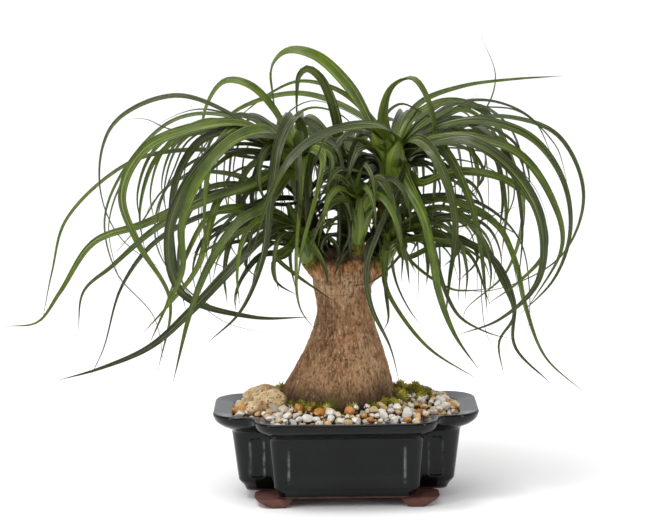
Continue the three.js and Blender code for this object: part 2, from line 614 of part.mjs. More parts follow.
// Pebbles on a jittered triangular grid, bedded in a heaped layer over the soil
function makeGravel() {
  const draw = drawFrom(PEBBLE_SEED);
  const levels = [SOIL_TOP + GAP, GRAVEL_TOP].map((z) => potOutline(insideInset(z) + 2 * GAP, z));
  levels.push(potOutline(insideInset(GRAVEL_TOP) + HEAP_WIDTH, GRAVEL_TOP + HEAP_HEIGHT));
  const solids = [toSolid(loft(levels))];
  const rowHeight = (PEBBLE_PITCH * Math.sqrt(3)) / 2;
  for (let row = -7; row <= 7; row += 1) {
    for (let column = -9; column <= 9; column += 1) {
      const x = (column + (row % 2 === 0 ? 0 : 0.5)) * PEBBLE_PITCH + 3 * (draw() - 0.5);
      const y = row * rowHeight + 3 * (draw() - 0.5);
      const radius = between(PEBBLE_RADIUS, draw());
      const height = between(PEBBLE_HEIGHT, draw());
      const turn = TURN * draw();
      if (depthInPot(x, y) < radius + GAP) continue;
      if (Math.hypot(x - TRUNK_BASE_X, y) < TRUNK_BASE_RADIUS) continue;
      solids.push(toSolid(pebble(x, y, radius, height, turn, draw)));
    }
  }
  let gravel = wasm.Manifold.union(solids).subtract(trunkHole());
  for (const name of Object.keys(STONES)) {
    gravel = gravel.subtract(toSolid(stoneGeometry(name, 2 * GAP)));
  }
  return wholeBody(gravel);
}

// The way of a filling leaf of one head, from the rule's own draws
function fillingLeaf(rule, crown, index, draw) {
  const angle = between(rule.sector, (index + 0.5 + 0.7 * (draw() - 0.5)) / rule.count);
  const reach = between(rule.reach, draw());
  const rise = between(rule.rise, draw());
  const fall = between(rule.fall, draw());
  const sweep = FILL_SWEEP * (draw() - 0.5);
  const width = between(FILL_WIDTH, draw());
  const roll = between(FILL_ROLL, draw());
  const points = ARCH.map(([out, up, down]) => {
    const heading = (angle + sweep * out) * DEGREE;
    return [crown[0] + reach * out * Math.cos(heading), crown[1] + reach * out * Math.sin(heading),
      crown[2] + rise * up - fall * down];
  });
  return [width, roll, points];
}

// The curve along a leaf, from inside the bulb through its points, bent by the shift in depth
function leafCurve(crown, points, shift) {
  const centre = new THREE.Vector3(...crown);
  const away = new THREE.Vector3(points[0][0] - crown[0], points[0][1] - crown[1], 0).normalize();
  const rise = THREE.MathUtils.clamp(0.12 * (points[0][2] - crown[2]), -6, 6);
  const root = centre.clone().addScaledVector(away, 1.5).add(new THREE.Vector3(0, 0, -9 + rise));
  const neck = centre.clone().addScaledVector(away, 5).add(new THREE.Vector3(0, 0, 3 + rise));
  const way = points.map(([x, y, z], index) => (
    new THREE.Vector3(x, y + shift * Math.min(1, (index + 1) / 3), z)));
  return new THREE.CatmullRomCurve3([root, neck, ...way]);
}

// A leaf blade: flat above, keeled below, three-sided and tapering to a point. Its width starts
// level and square to the way the leaf sets out, and rolls towards the front as it goes.
function leafBlade(width, roll, curve, points, crown, from = 0) {
  const length = curve.getLength();
  const steps = THREE.MathUtils.clamp(Math.round(length / LEAF_STEP), LEAF_LEAST_STEPS, LEAF_MOST_STEPS);
  const centres = curve.getSpacedPoints(steps);
  const outX = points[1][0] - crown[0];
  const outY = points[1][1] - crown[1];
  const across = new THREE.Vector3(outY, -outX, 0).normalize();
  const rollSign = outX > 0 ? 1 : -1;
  const rings = [];
  for (let step = 0; step < steps; step += 1) {
    const part = step / steps;
    const behind = centres[Math.max(step - 1, 0)];
    const tangent = centres[step + 1].clone().sub(behind).normalize();
    across.addScaledVector(tangent, -across.dot(tangent)).normalize();
    if (part < from) continue;
    const angle = rollSign * roll * DEGREE * THREE.MathUtils.smoothstep(part, 0, 0.4);
    const flat = across.clone().applyAxisAngle(tangent, angle);
    const normal = flat.clone().cross(tangent);
    const breadth = width * Math.min(1, 0.6 + 2.5 * part) * (1 - part ** 1.7) ** 0.85;
    const keel = Math.max(BLADE_THICKNESS, KEEL_PER_WIDTH * breadth);
    rings.push([
      centres[step].clone().addScaledVector(flat, -breadth / 2),
      centres[step].clone().addScaledVector(flat, breadth / 2),
      centres[step].clone().addScaledVector(normal, -keel),
    ]);
  }
  return toSolid(spear(rings, centres[steps]));
}

// Three-sided rings closed by one triangle at the root and a point at the tip. Where the blade
// twists, its faces are split the way that bulges them apart.
function spear(rings, tip) {
  const points = [...rings.flat(), tip];
  const triangles = [2, 1, 0];
  for (let level = 0; level + 1 < rings.length; level += 1) {
    const [left, right, keel] = rings[level];
    const [nextLeft, nextRight] = rings[level + 1];
    const upward = left.clone().add(right).multiplyScalar(0.5).sub(keel);
    const twist = nextRight.clone().sub(nextLeft).dot(upward);
    for (let side = 0; side < 3; side += 1) {
      const a = level * 3 + side;
      const b = level * 3 + ((side + 1) % 3);
      if (twist > 0) triangles.push(a, b, b + 3, a, b + 3, a + 3);
      else triangles.push(a, b, a + 3, b, b + 3, a + 3);
    }
  }
  const last = (rings.length - 1) * 3;
  for (let side = 0; side < 3; side += 1) {
    triangles.push(last + side, last + ((side + 1) % 3), points.length - 1);
  }
  return surface(points, triangles);
}

// The bulb of leaf bases that a head's leaves rise from, seated on the end of its shoot
function makeBulb({ shoot, crown, bulb }) {
  const [x, y, z, radius] = shoot.at(-1);
  const seat = new THREE.Vector3(x, y, z);
  const direction = seat.clone().sub(new THREE.Vector3(...shoot.at(-2).slice(0, 3))).normalize();
  seat.addScaledVector(direction, GAP);
  const collar = seat.clone().addScaledVector(direction, BULB_COLLAR);
  const centre = new THREE.Vector3(...crown);
  const station = (part, size) => [...collar.clone().lerp(centre, part).toArray(), size];
  return toSolid(taperedTube([
    [...seat.toArray(), radius], station(0, 1.05 * radius), station(0.35, bulb),
    station(0.85, 0.85 * bulb), station(1.3, 0.3 * bulb),
  ], 8));
}

// Every head's leaves, each bent until it clears the wood, bulbs and leaves of the other heads and
// the free part of its own head's leaves. One that would only graze its head, and leave an edge
// shared by four faces, is bent too.
function makeHeads(wood) {
  const draw = drawFrom(LEAF_SEED);
  const heads = Object.fromEntries(Object.entries(HEADS).map(([name, head]) => [name, makeBulb(head)]));
  const placed = [];
  const clears = (solid, others) => others.every((other) => (
    solid.minGap(other, LEAF_CLEARANCE) >= LEAF_CLEARANCE));
  for (const [name, { crown }] of Object.entries(HEADS)) {
    const rule = FILL[name];
    const leaves = [...LEAVES[name]];
    for (let index = 0; index < rule.count; index += 1) {
      leaves.push(fillingLeaf(rule, crown, index, draw));
    }
    const strangers = [wood];
    for (const [other, solid] of Object.entries(heads)) if (other !== name) strangers.push(solid);
    for (const [width, roll, points] of leaves) {
      const siblings = placed.filter((leaf) => leaf.name === name).map((leaf) => leaf.free);
      let best = null;
      for (const shift of BENDS) {
        const curve = leafCurve(crown, points, shift);
        const blade = leafBlade(width, roll, curve, points, crown);
        if (!clears(blade, strangers)) continue;
        const grown = wholeBody(heads[name].add(blade));
        if (!MERGE_TOLERANCES.every((tolerance) => edgesAreSound(grown, tolerance))) continue;
        const free = leafBlade(width, roll, curve, points, crown, FREE_FROM);
        const crossesNone = clears(free, siblings);
        if (crossesNone || !best) best = { name, free, grown, shift };
        if (crossesNone) break;
      }
      if (!best) continue;
      placed.push(best);
      heads[name] = best.grown;
    }
  }
  return heads;
}

function mesh(name, geometry, finish) {
  const material = new THREE.MeshStandardMaterial({ ...FINISHES[finish], metalness: 0, name: finish });
  const piece = new THREE.Mesh(geometry, material);
  piece.name = name;
  return piece;
}

const palm = new THREE.Group();
palm.add(mesh('pot', toGeometry(makePot()), 'glaze'));
for (const [end, sideX] of [['left', -1], ['right', 1]]) {
  for (const [face, sideY] of [['front', -1], ['back', 1]]) {
    palm.add(mesh(`foot_${face}_${end}`, makeFoot(sideX, sideY), 'bare_clay'));
  }
}
palm.add(mesh('soil', toGeometry(makeSoil()), 'soil'));
palm.add(mesh('gravel', toGeometry(makeGravel()), 'gravel'));
for (const name of Object.keys(STONES)) {
  palm.add(mesh(name, stoneGeometry(name), 'stone'));
}
const trunk = makeTrunk();
palm.add(mesh('trunk', toGeometry(trunk), 'bark'));
for (const [name, head] of Object.entries(makeHeads(trunk))) {
  palm.add(mesh(name, toGeometry(head), 'leaf'));
}

// The origin is under the middle of the whole plant, on the surface it stands on
const reach = new THREE.Box3().setFromObject(palm);
palm.position.set(-(reach.min.x + reach.max.x) / 2, -(reach.min.y + reach.max.y) / 2, -reach.min.z);

export default palm;
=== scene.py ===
"""A ponytail palm grown as a bonsai: a bottle-shaped trunk with heads of arching strap leaves,
bedded in soil, pebbles and moss in a lobed, black glazed pot on bare clay feet."""

import math
import bmesh
import bpy
import numpy as np
from mathutils import Matrix, Vector, noise


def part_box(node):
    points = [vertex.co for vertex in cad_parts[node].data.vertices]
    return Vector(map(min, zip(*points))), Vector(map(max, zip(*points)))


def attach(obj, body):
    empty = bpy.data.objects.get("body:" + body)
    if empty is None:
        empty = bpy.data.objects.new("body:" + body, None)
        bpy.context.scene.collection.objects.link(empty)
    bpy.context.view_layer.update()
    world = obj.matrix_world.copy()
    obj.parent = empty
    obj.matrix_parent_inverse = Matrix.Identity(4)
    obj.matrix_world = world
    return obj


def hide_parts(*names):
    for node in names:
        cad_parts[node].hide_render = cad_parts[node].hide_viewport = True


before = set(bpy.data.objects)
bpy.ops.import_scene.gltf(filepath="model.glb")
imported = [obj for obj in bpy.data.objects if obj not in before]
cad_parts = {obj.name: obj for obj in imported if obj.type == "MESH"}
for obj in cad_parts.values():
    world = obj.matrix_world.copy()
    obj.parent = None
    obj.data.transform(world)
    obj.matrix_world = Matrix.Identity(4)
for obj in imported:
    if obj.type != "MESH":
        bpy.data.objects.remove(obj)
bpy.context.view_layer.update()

# THE FEET
# Four tapered feet of unglazed, reddish brown stoneware, pressed by hand and luted under the pot's
# notches before firing. Their soles are flat, and their edges are soft from the sponge.

MM = 0.001
TURN = 2 * math.pi
pot_low, pot_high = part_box("pot")
POT_MIDDLE = np.array([(pot_low.x + pot_high.x) / 2, (pot_low.y + pot_high.y) / 2, 0])


def rows(text):
    """A table of numbers, its rows parted by commas."""
    return [[float(n) for n in row.split()] for row in text.split(",") if row.strip()]


def to_frame(points):
    """Points in millimetres from under the middle of the pot, as metres in the frame."""
    return np.asarray(points, float) * MM + POT_MIDDLE


def paint(code):
    """A paint code such as 50692a as a linear colour."""
    channels = [int(code[start:start + 2], 16) / 255 for start in (0, 2, 4)]
    return tuple(c / 12.92 if c <= 0.04045 else ((c + 0.055) / 1.055) ** 2.4 for c in channels) + (1,)


class Wire:
    """One output of a node. The sum, difference or product of two is a Math node."""

    def __init__(self, socket):
        self.socket = socket

    def __add__(self, other):
        return calc("ADD", self, other)

    def __sub__(self, other):
        return calc("SUBTRACT", self, other)

    def __mul__(self, other):
        return calc("MULTIPLY", self, other)


def feed(socket, value):
    """Gives an input a value, a wire or a list of wires."""
    for item in value if isinstance(value, list) else [value]:
        if isinstance(item, Wire):
            tree.links.new(item.socket, socket)
        else:
            socket.default_value = item


def put(kind, inputs=(), output=0, **settings):
    """Adds a node to the tree at hand, and gives one of its outputs. The inputs are the first ones in
    their order, or named."""
    node = tree.nodes.new(kind)
    for key, value in settings.items():
        setattr(node, key, value)
    for key, value in inputs.items() if isinstance(inputs, dict) else enumerate(inputs):
        feed(node.inputs[key], value)
    return Wire(node.outputs[output])


def calc(operation, first, second=0.0):
    return put("ShaderNodeMath", [first, second], operation=operation)


def new_finish(name, roughness, specular):
    """A new material, its tree and its Object coordinates."""
    finish = bpy.data.materials.new(name)
    finish.use_nodes = True
    nodes = finish.node_tree.nodes
    nodes["Principled BSDF"].inputs["Roughness"].default_value = roughness
    nodes["Principled BSDF"].inputs["Specular IOR Level"].default_value = specular
    return finish, finish.node_tree, Wire(nodes.new("ShaderNodeTexCoord").outputs["Object"])


def grain(vector, scale, detail=3.0, roughness=0.6, distortion=0.0):
    return put("ShaderNodeTexNoise", {
        "Vector": vector, "Scale": scale, "Detail": detail, "Roughness": roughness, "Distortion": distortion})


def cells(vector, scale):
    return put("ShaderNodeTexVoronoi", {"Vector": vector, "Scale": scale})


def span(value, low, high, to_low=0.0, to_high=1.0):
    """A value between low and high, spread smoothly from to_low to to_high."""
    return put("ShaderNodeMapRange", [value, low, high, to_low, to_high], interpolation_type="SMOOTHSTEP")


def shades(value, stops):
    """A colour for a value between 0 and 1, from the paint codes at its stops."""
    ramp = put("ShaderNodeValToRGB", [value])
    elements = ramp.socket.node.color_ramp.elements
    while len(elements) < len(stops):
        elements.new(1)
    for element, (place, code) in zip(elements, stops.items()):
        element.position = place
        element.color = paint(code)
    return ramp


def blend(share, first, second, mode="MIX"):
    """Two colours mixed, each a paint code or a wire."""
    first, second = (paint(c) if isinstance(c, str) else c for c in (first, second))
    return put("ShaderNodeMix", {0: share, 6: first, 7: second}, 2, data_type="RGBA", blend_type=mode)


def coats(colour, *layers):
    """A colour under further coats, each the share that it covers and its own colour."""
    for share, code in layers:
        colour = blend(share, colour, code)
    return colour


def dress(colour, height=None, depth=0.0, strength=1.0, others=None):
    """Feeds the shader of the finish at hand: its colour, a fine relief and other inputs."""
    inputs = {"Base Color": colour, **(others or {})}
    if height:
        inputs["Normal"] = put("ShaderNodeBump", {"Height": height, "Distance": depth, "Strength": strength})
    for name, value in inputs.items():
        feed(tree.nodes["Principled BSDF"].inputs[name], value)


def arc(x, y, radius, start, end, steps):
    angles = np.radians(np.linspace(start, end, steps + 1))
    return np.stack([x + radius * np.cos(angles), y + radius * np.sin(angles)], 1)


def loft(rings):
    """Points in the frame, and faces, through rings that run counter-clockwise from above, going up."""
    size = len(rings[0])
    last = (len(rings) - 1) * size
    faces = []
    for start in range(0, last, size):
        for side in range(size):
            a, b = start + side, start + (side + 1) % size
            faces.append((a, b, b + size, a + size))
    faces += [tuple(range(size))[::-1], tuple(range(last, last + size))]
    return to_frame(np.concatenate(rings)), faces


def new_object(name, data):
    """An object at the origin of the scene."""
    thing = bpy.data.objects.new(name, data)
    bpy.context.scene.collection.objects.link(thing)
    return thing


def new_piece(name, points, faces, finish):
    """A smooth mesh object with its place in its points."""
    mesh = bpy.data.meshes.new(name)
    mesh.from_pydata([tuple(p) for p in points], [], faces)
    mesh.materials.append(finish)
    mesh.validate()
    mesh.polygons.foreach_set("use_smooth", [True] * len(mesh.polygons))
    return new_object(name, mesh)


def settle(piece, node, sharp=None):
    """The piece rides with the plant and stands for its node, with edges over an angle kept sharp."""
    if sharp:
        piece.data.set_sharp_from_angle(angle=math.radians(sharp))
    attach(piece, "root")
    if node:
        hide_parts(node)


def smooth_line(points, per_span):
    """A smooth line through points, as Catmull-Rom with centripetal spacing."""
    line = [np.asarray(p, float) for p in points]
    line = [2 * line[0] - line[1]] + line + [2 * line[-1] - line[-2]]
    part = np.linspace(0, 1, per_span, endpoint=False)[:, None]
    pieces = []
    for p0, p1, p2, p3 in zip(line, line[1:], line[2:], line[3:]):
        d0, d1, d2 = (max(np.linalg.norm(b - a), 1e-8) ** 0.5 for a, b in ((p0, p1), (p1, p2), (p2, p3)))
        t1 = ((p1 - p0) / d0 - (p2 - p0) / (d0 + d1) + (p2 - p1) / d1) * d1
        t2 = ((p2 - p1) / d1 - (p3 - p1) / (d1 + d2) + (p3 - p2) / d2) * d1
        pieces.append(p1 + t1 * part + (3 * (p2 - p1) - 2 * t1 - t2) * part ** 2
                      + (2 * (p1 - p2) + t1 + t2) * part ** 3)
    return np.concatenate(pieces + [line[-2][None]])


# Half length, half depth, centre x, centre y and z of the foot's levels
FOOT_LEVELS = rows("""
    6.5 7.5 52.5 44 0, 9 9.5 53.2 42.5 2, 12.6 13 54.6 39 4.8, 14.5 15.5 55.5 35.5 6.7""")
FOOT_EDGE, FOOT_SWELL, FOOT_ROUNDNESS = 0.5, 0.9, 0.6
# The quarters of a rounded outline, with the angle where each begins
QUARTERS = ((1, 1, 0), (-1, 1, 90), (-1, -1, 180), (1, -1, 270))

bare_clay, tree, here = new_finish("bare_clay", 0.78, 0.35)
patches = grain(here, 130, 4)
specks = span(cells(here, 900), 0.1, 0.28, 1, 0)
clay_colour = shades(patches, {0.25: "482d28", 0.5: "623e36", 0.75: "774e45"})
dress(coats(clay_colour, (specks, "7c5d52")), grain(here, 1500, 2) + patches, 0.0003, 0.6)

foot_levels = smooth_line(FOOT_LEVELS, 6)
foot_levels[:, :2] += (FOOT_SWELL * np.sin(foot_levels[:, 4] / foot_levels[-1, 4] * math.pi))[:, None]
foot_levels[0, :2] -= FOOT_EDGE
foot_levels = np.insert(foot_levels, 1, foot_levels[0] + [FOOT_EDGE, FOOT_EDGE, 0, 0, FOOT_EDGE], 0)
for end, side_x in (("left", -1), ("right", 1)):
    for face, side_y in (("front", -1), ("back", 1)):
        rings = []
        for half_x, half_y, x, y, z in foot_levels:
            corner = FOOT_ROUNDNESS * min(half_x, half_y)
            outline = np.concatenate([
                arc(to_x * (half_x - corner), to_y * (half_y - corner), corner, start, start + 90, 8)
                for to_x, to_y, start in QUARTERS])
            outline += (side_x * x, side_y * y)
            rings.append(np.column_stack([outline, np.full(len(outline), z)]))
        foot = new_piece(f"clay_foot_{face}_{end}", *loft(rings), bare_clay)
        settle(foot, f"foot_{face}_{end}", 60)

# THE POT
# A slip-cast stoneware bonsai pot whose plan is two crossing rounded lobes. Sunk panels are cast in
# its walls, a cove carries the wide rim, and a black tenmoku glaze stops just above the base.

POT_LENGTH, POT_DEPTH = 203.2, 150
SIDE_LOBE_DEPTH, FRONT_LOBE_WIDTH = 94, 138
FRONT_BOW = 2
SIDE_CORNER, FRONT_CORNER, SMALLEST_CORNER = 24, 19.6, 6
NOTCH_FILLET, SMALLEST_FILLET = 8, 3
# How much of an inset the front lobe's width, the corners and the notches' fillets give up
WIDTH_LOSS, CORNER_LOSS, FILLET_LOSS = 0.75, 0.7, 0.35
# Inset from the rim's outline, height and softness of each corner, up the outside and down the inside
POT_WALL = rows("""
    24.8 7 1.5, 23 10.5 1.5, 19.2 15 1.2, 14.4 54 2.5, 11.8 56.3 2.5, 6.5 58.6 3, 2 62.5 2,
    0 67.4 1.6, 1.2 69.1 0.9, 14.4 66.6 1, 15.6 65.4 1, 20 50 3, 25 17 3, 28 13.5 2""")
COVE_INSET, WALL_LOW, WALL_HIGH = 14.4, 16, 54
FINE_STEP, COARSE_STEP, NEARLY_HALF = 0.8, 3, 0.48
PANEL_BOTTOM, PANEL_TOP = 18.5, 49.5
PANEL_RECESS, PANEL_CORNER, PANEL_SLOPE, PANEL_LIP, LIP_WIDTH = 0.9, 3, 1.1, 0.18, 1.2
EDGE_WIDTH, EDGE_FADE, FLAT_WITHIN, PANEL_MARGIN = 0.7, 5, 1.2, 4
FACE_PANEL_HALF, END_PANEL_HALF, FACE_PANEL_FADE = 43.5, 13.5, 7
CHEEK_PANEL_HALF, CHEEK_PANEL_X = 5.2, 67.8
# The right cheek's pale edge line is fainter, as it gets less painted highlight
RIGHT_CHEEK_HIGHLIGHT_SHARE = 0.3
DRAIN_HOLE_RADIUS, DRAIN_HOLE_X, DRAIN_HOLE_SIDES = 6, 42, 32
CORNER_STEPS, FILLET_STEPS, FACE_STEPS, END_STEPS, CHEEK_STEPS, FLANK_STEPS = 12, 7, 56, 22, 14, 6


def pot_outline(inset, z):
    """One level of the pot, inset from the rim's outline."""
    end_x, end_y = POT_LENGTH / 2 - inset, SIDE_LOBE_DEPTH / 2 - inset
    front_x, front_y = FRONT_LOBE_WIDTH / 2 - WIDTH_LOSS * inset, POT_DEPTH / 2 - inset
    side = max(SMALLEST_CORNER, SIDE_CORNER - CORNER_LOSS * inset)
    front = max(SMALLEST_CORNER, FRONT_CORNER - CORNER_LOSS * inset)
    fillet = max(SMALLEST_FILLET, NOTCH_FILLET - FILLET_LOSS * inset)
    bow = FRONT_BOW * max(0, 1 - inset / COVE_INSET)
    corner = arc(end_x - side, end_y - side, side, 0, 90, CORNER_STEPS)
    notch = arc(front_x + fillet, end_y + fillet, fillet, 270, 180, FILLET_STEPS)
    shoulder = arc(front_x - front, front_y - front, front, 0, 90, CORNER_STEPS)
    stretches = [((end_x, 0), corner[0], END_STEPS), (corner[-1], notch[0], CHEEK_STEPS),
                 (notch[-1], shoulder[0], FLANK_STEPS), (shoulder[-1], (0, front_y), FACE_STEPS)]
    flats = [np.linspace(a, b, steps + 1)[1:-1] for a, b, steps in stretches]
    flats[3][:, 1] += bow * np.sin(np.arange(1, FACE_STEPS) / FACE_STEPS * math.pi / 2) ** 2
    quarter = np.concatenate([flats[0], corner, flats[1], notch, flats[2], shoulder, flats[3]])
    ring = np.concatenate([
        [(end_x, 0)], quarter, [(0, front_y + bow)], (quarter * (-1, 1))[::-1], [(-end_x, 0)],
        quarter * (-1, -1), [(0, -front_y - bow)], (quarter * (1, -1))[::-1]])
    return np.column_stack([ring, np.full(len(ring), z)])


def rounded_profile(wall, steps):
    """The wall's profile with each corner rounded by its own softness."""
    line = np.array([w[:2] for w in wall], float)
    profile = [line[0]]
    for before, corner, after, (_, _, softness) in zip(line, line[1:], line[2:], wall[1:]):
        lengths = [np.linalg.norm(p - corner) for p in (before, after)]
        start, finish = (corner + (p - corner) / length * min(softness, NEARLY_HALF * length)
                         for p, length in zip((before, after), lengths))
        for part in np.linspace(0, 1, steps):
            profile.append((1 - part) ** 2 * start + 2 * part * (1 - part) * corner + part ** 2 * finish)
    return np.array(profile + [line[-1]])


def rounded_distance(u, v, half_u, half_v, corner):
    """How far a point lies outside a rounded rectangle, negative inside it."""
    over_u, over_v = np.abs(u) - half_u + corner, np.abs(v) - half_v + corner
    outside = np.hypot(np.maximum(over_u, 0), np.maximum(over_v, 0))
    return outside + np.minimum(np.maximum(over_u, over_v), 0) - corner


def component(vector, index):
    return put("ShaderNodeSeparateXYZ", [vector], index)


def value_of(name):
    """The value that a piece's points carry by this name."""
    return put("ShaderNodeAttribute", output="Fac", attribute_name=name)


def mark(mesh, name, values):
    """Gives a mesh's points their numbers or directions by this name."""
    values = np.asarray(values)
    kind = "FLOAT_VECTOR" if values.ndim == 2 else "INT" if values.dtype.kind == "i" else "FLOAT"
    layer = mesh.attributes.new(name, kind, "POINT")
    layer.data.foreach_set("vector" if values.ndim == 2 else "value", values.ravel())


def keep_made(piece, maker):
    """Takes what a modifier makes of a piece as the piece's own mesh."""
    made = bpy.data.meshes.new_from_object(piece.evaluated_get(bpy.context.evaluated_depsgraph_get()))
    piece.modifiers.remove(maker)
    made.name = piece.name
    piece.data = made


profile = rounded_profile(POT_WALL, 5)
levels = [profile[0]]
for start, finish in zip(profile, profile[1:]):
    panelled = WALL_LOW < finish[1] < WALL_HIGH and start[1] < finish[1]
    parts = max(1, int(np.linalg.norm(finish - start) / (FINE_STEP if panelled else COARSE_STEP)))
    levels += [start + (finish - start) * (k + 1) / parts for k in range(parts)]
rings = np.array([pot_outline(inset, z) for inset, z in levels])

# The panels sink into the outer wall. A pale line is painted on their upright edges: partly glaze thinned
# over the edge, partly a painted highlight, fainter on the less lit right cheek
panel_mid, panel_half = (PANEL_TOP + PANEL_BOTTOM) / 2, (PANEL_TOP - PANEL_BOTTOM) / 2
thin_glaze = np.zeros(rings.shape[:2])
outer = np.array([WALL_LOW < z < WALL_HIGH for _, z in levels]) & (np.arange(len(levels)) < len(levels) // 2)
for level in np.nonzero(outer)[0]:
    ring, (inset, z) = rings[level], levels[level]
    front_y, side_y, end_x = POT_DEPTH / 2 - inset, SIDE_LOBE_DEPTH / 2 - inset, POT_LENGTH / 2 - inset
    for facing, half, offset, reach in (
            (1, FACE_PANEL_HALF, 0, front_y), (0, END_PANEL_HALF, 0, end_x),
            (1, CHEEK_PANEL_HALF, CHEEK_PANEL_X, side_y), (1, CHEEK_PANEL_HALF, -CHEEK_PANEL_X, side_y)):
        along = ring[:, 1 - facing] - offset
        away = rounded_distance(along, z - panel_mid, half, panel_half, PANEL_CORNER)
        sunk = np.clip(0.5 - away / PANEL_SLOPE, 0, 1)
        depth = PANEL_RECESS * sunk ** 2 * (3 - 2 * sunk) - PANEL_LIP * np.exp(-((away - 1) / LIP_WIDTH) ** 2)
        if half == FACE_PANEL_HALF:
            depth = depth * min(1, max(0, panel_half - abs(z - panel_mid)) / FACE_PANEL_FADE) ** 1.5
        near = (np.abs(np.abs(ring[:, facing]) - reach) < FLAT_WITHIN) & (away < PANEL_MARGIN)
        ring[near, facing] -= (np.sign(ring[:, facing]) * depth)[near]
        upright = np.clip((panel_half - np.abs(z - panel_mid)) / EDGE_FADE, 0, 1)
        line = np.exp(-((np.abs(along) - half) / EDGE_WIDTH) ** 2) * upright
        highlight_share = RIGHT_CHEEK_HIGHLIGHT_SHARE if offset > 0 else 1
        thin_glaze[level][near] = np.maximum(thin_glaze[level], highlight_share * line)[near]

glaze, tree, here = new_finish("glaze", 0.11, 0.22)
bare = span(component(here, 2) + grain(here, 90, 3) * 0.0016, 0.0088, 0.0095, 1, 0)
pale_line_and_highlight = value_of("thin_glaze") * span(grain(here, 160, 4), 0.3, 0.62)
upward = component(put("ShaderNodeTexCoord", output="Normal"), 2)
glaze_colour = coats(
    shades(grain(here, 38, 4), {0.3: "070808", 0.55: "0c0e0e", 0.8: "121516"}),
    # Thin glaze and painted highlight on the panels' upright edges
    (pale_line_and_highlight * 0.85, "82888a"),
    (span(cells(here, 240), 0.05, 0.09, 0.6, 0), "3a2f28"),
    # Faces that look up are painted a lighter grey, a painted reflection of the bright studio on the rim's
    # top
    (span(upward, 0.8, 0.97, 0, 0.9), "43464b"),
    (bare, shades(grain(here, 260, 4), {0.3: "442c27", 0.7: "5f403a"})))
gloss = span(grain(here, 55, 5), 0.35, 0.75, 0.06, 0.14)
dress(glaze_colour, grain(here, 45, 2) + grain(here, 900, 2) * 0.02, 0.0012, 0.3,
      {"Roughness": put("ShaderNodeMix", {0: bare, 2: gloss, 3: 0.75})})

pot = new_piece("glazed_pot", *loft(rings), glaze)
mark(pot.data, "thin_glaze", thin_glaze.ravel())
for x in (-DRAIN_HOLE_X, DRAIN_HOLE_X):
    circle = arc(x, 0, DRAIN_HOLE_RADIUS, 0, 360, DRAIN_HOLE_SIDES)[:-1]
    rings = [np.column_stack([circle, np.full(DRAIN_HOLE_SIDES, z)]) for z in (0, 20)]
    punch = new_piece("punch", *loft(rings), glaze)
    hole = pot.modifiers.new("hole", "BOOLEAN")
    hole.object, hole.operation, hole.solver = punch, "DIFFERENCE", "EXACT"
    keep_made(pot, hole)
    bpy.data.objects.remove(punch)
settle(pot, "pot", 50)

# THE SOIL
# Dark potting soil that fills the pot up to the pebbles and is drawn up to the trunk. It shows only
# through the drain holes and between the pebbles, damp and crumbly.

soil_finish, tree, here = new_finish("soil", 0.95, 0.2)
dress(shades(grain(here, 300, 5), {0.3: "2a1f15", 0.55: "4a3826", 0.8: "6b5338"}),
      grain(here, 700, 4) - cells(here, 420), 0.0012)
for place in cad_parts["soil"].material_slots:
    place.material = soil_finish

# THE GRAVEL
# Washed quartz pebbles, white, grey, cream, tan and rust, poured by hand over the soil and heaped a
# little towards the trunk. They lie loose, two or three deep.

GRAVEL_TOP, HEAP_HEIGHT, HEAP_WIDTH = 62.6, 8.5, 16
MOUTH_INSET, BED_SKIRT = 16.4, 2
TRUNK_FOOT = (-5.6, 0, 45.5, 42.5)
# Centre, radii and turn of the three larger stones, which the pebbles keep clear of
STONES = {
    "stone_back": (-64.5, 9.5, 73.6, 14.5, 11, 9.2, 8),
    "stone_front": (-55.6, -13.2, 74.2, 13.2, 8.8, 9.4, -18),
    "stone_speckled": (-69.5, -24.5, 71.5, 6.8, 5.4, 6, 20),
}
# Pebbles that stand out in the photograph: x, y, radius and tone
MARKED_PEBBLES = rows("""
    -79 -13.5 5 1, -35.5 -40 5 0.99, -20.4 -45 4.6 0.98, -59.3 -34.1 3.2 0.96, 2.2 -45 4.2 0.94,
    18.5 -54 3.4 0.97, 53.7 -34 3.6 1, 81.5 -9 4.6 0.99, 69 -28 4.4 0.9, -80 -24 3.6 0.05,
    -50 -42 4.2 0.08, -46 -34 3.8 0.4, -44 -49 3.4 0.1, -29 -52 4 0.05, -12 -53 4 0.1,
    -4 -56 3.4 0.45, 8 -55 3.8 0.05, 28 -50 3.8 0.1, 36 -55 4 0.02, 45 -50 4.6 0.42, 53 -46 3.8 0.7,
    58.6 -39.6 3.6 0.06, 60.5 -31 3.4 0.75, -62.5 -28.5 3 0.8, -55.5 -39 3.2 0.3, 76 -20 4 0.05,
    84 3 4.8 0.62, 76 10 4.6 0.5, 72 -10 4.4 0.2, -80 3 5 0.75""")
# Pebbles that have rolled onto the rim at its notches
RIM_PEBBLES = rows("""
    -66.5 -32 2.8 0.8, -62 -33.4 2.6 0.2, -60.4 -38 3 0.97, -59.4 -43 2.6 0.7, -58 -48 2.4 0.1,
    59.4 -42.5 2.4 0.9, 60.4 -37.6 2.7 0.15, 63 -33.2 2.8 0.75, 67.4 -31.6 2.4 0.3""")
PEBBLE_TRIES, GRIT_TRIES, PEBBLE_SEED, PEBBLE_KINDS = 30000, 12000, 11, 9
PEBBLE_LAYERS, GRIT_LAYER = (0.2, 2.4, 4.2), 0.8
# Radii run from the smallest up, most of them small; a pebble sinks in by a part of its radius
LEAST_RADIUS, RADIUS_RANGE, MOSTLY_SMALL, SINK, JUMBLE = 2.2, 2.4, 1.4, 0.3, 0.8
# How close pebbles may lie to each other and to the trunk, and how far over the larger stones' edges
PEBBLE_ROOM, TRUNK_ROOM, STONE_OVERLAP = 0.8, 0.4, -0.8
RIM_REST, WALL_ROOM = 68.6, 0.15


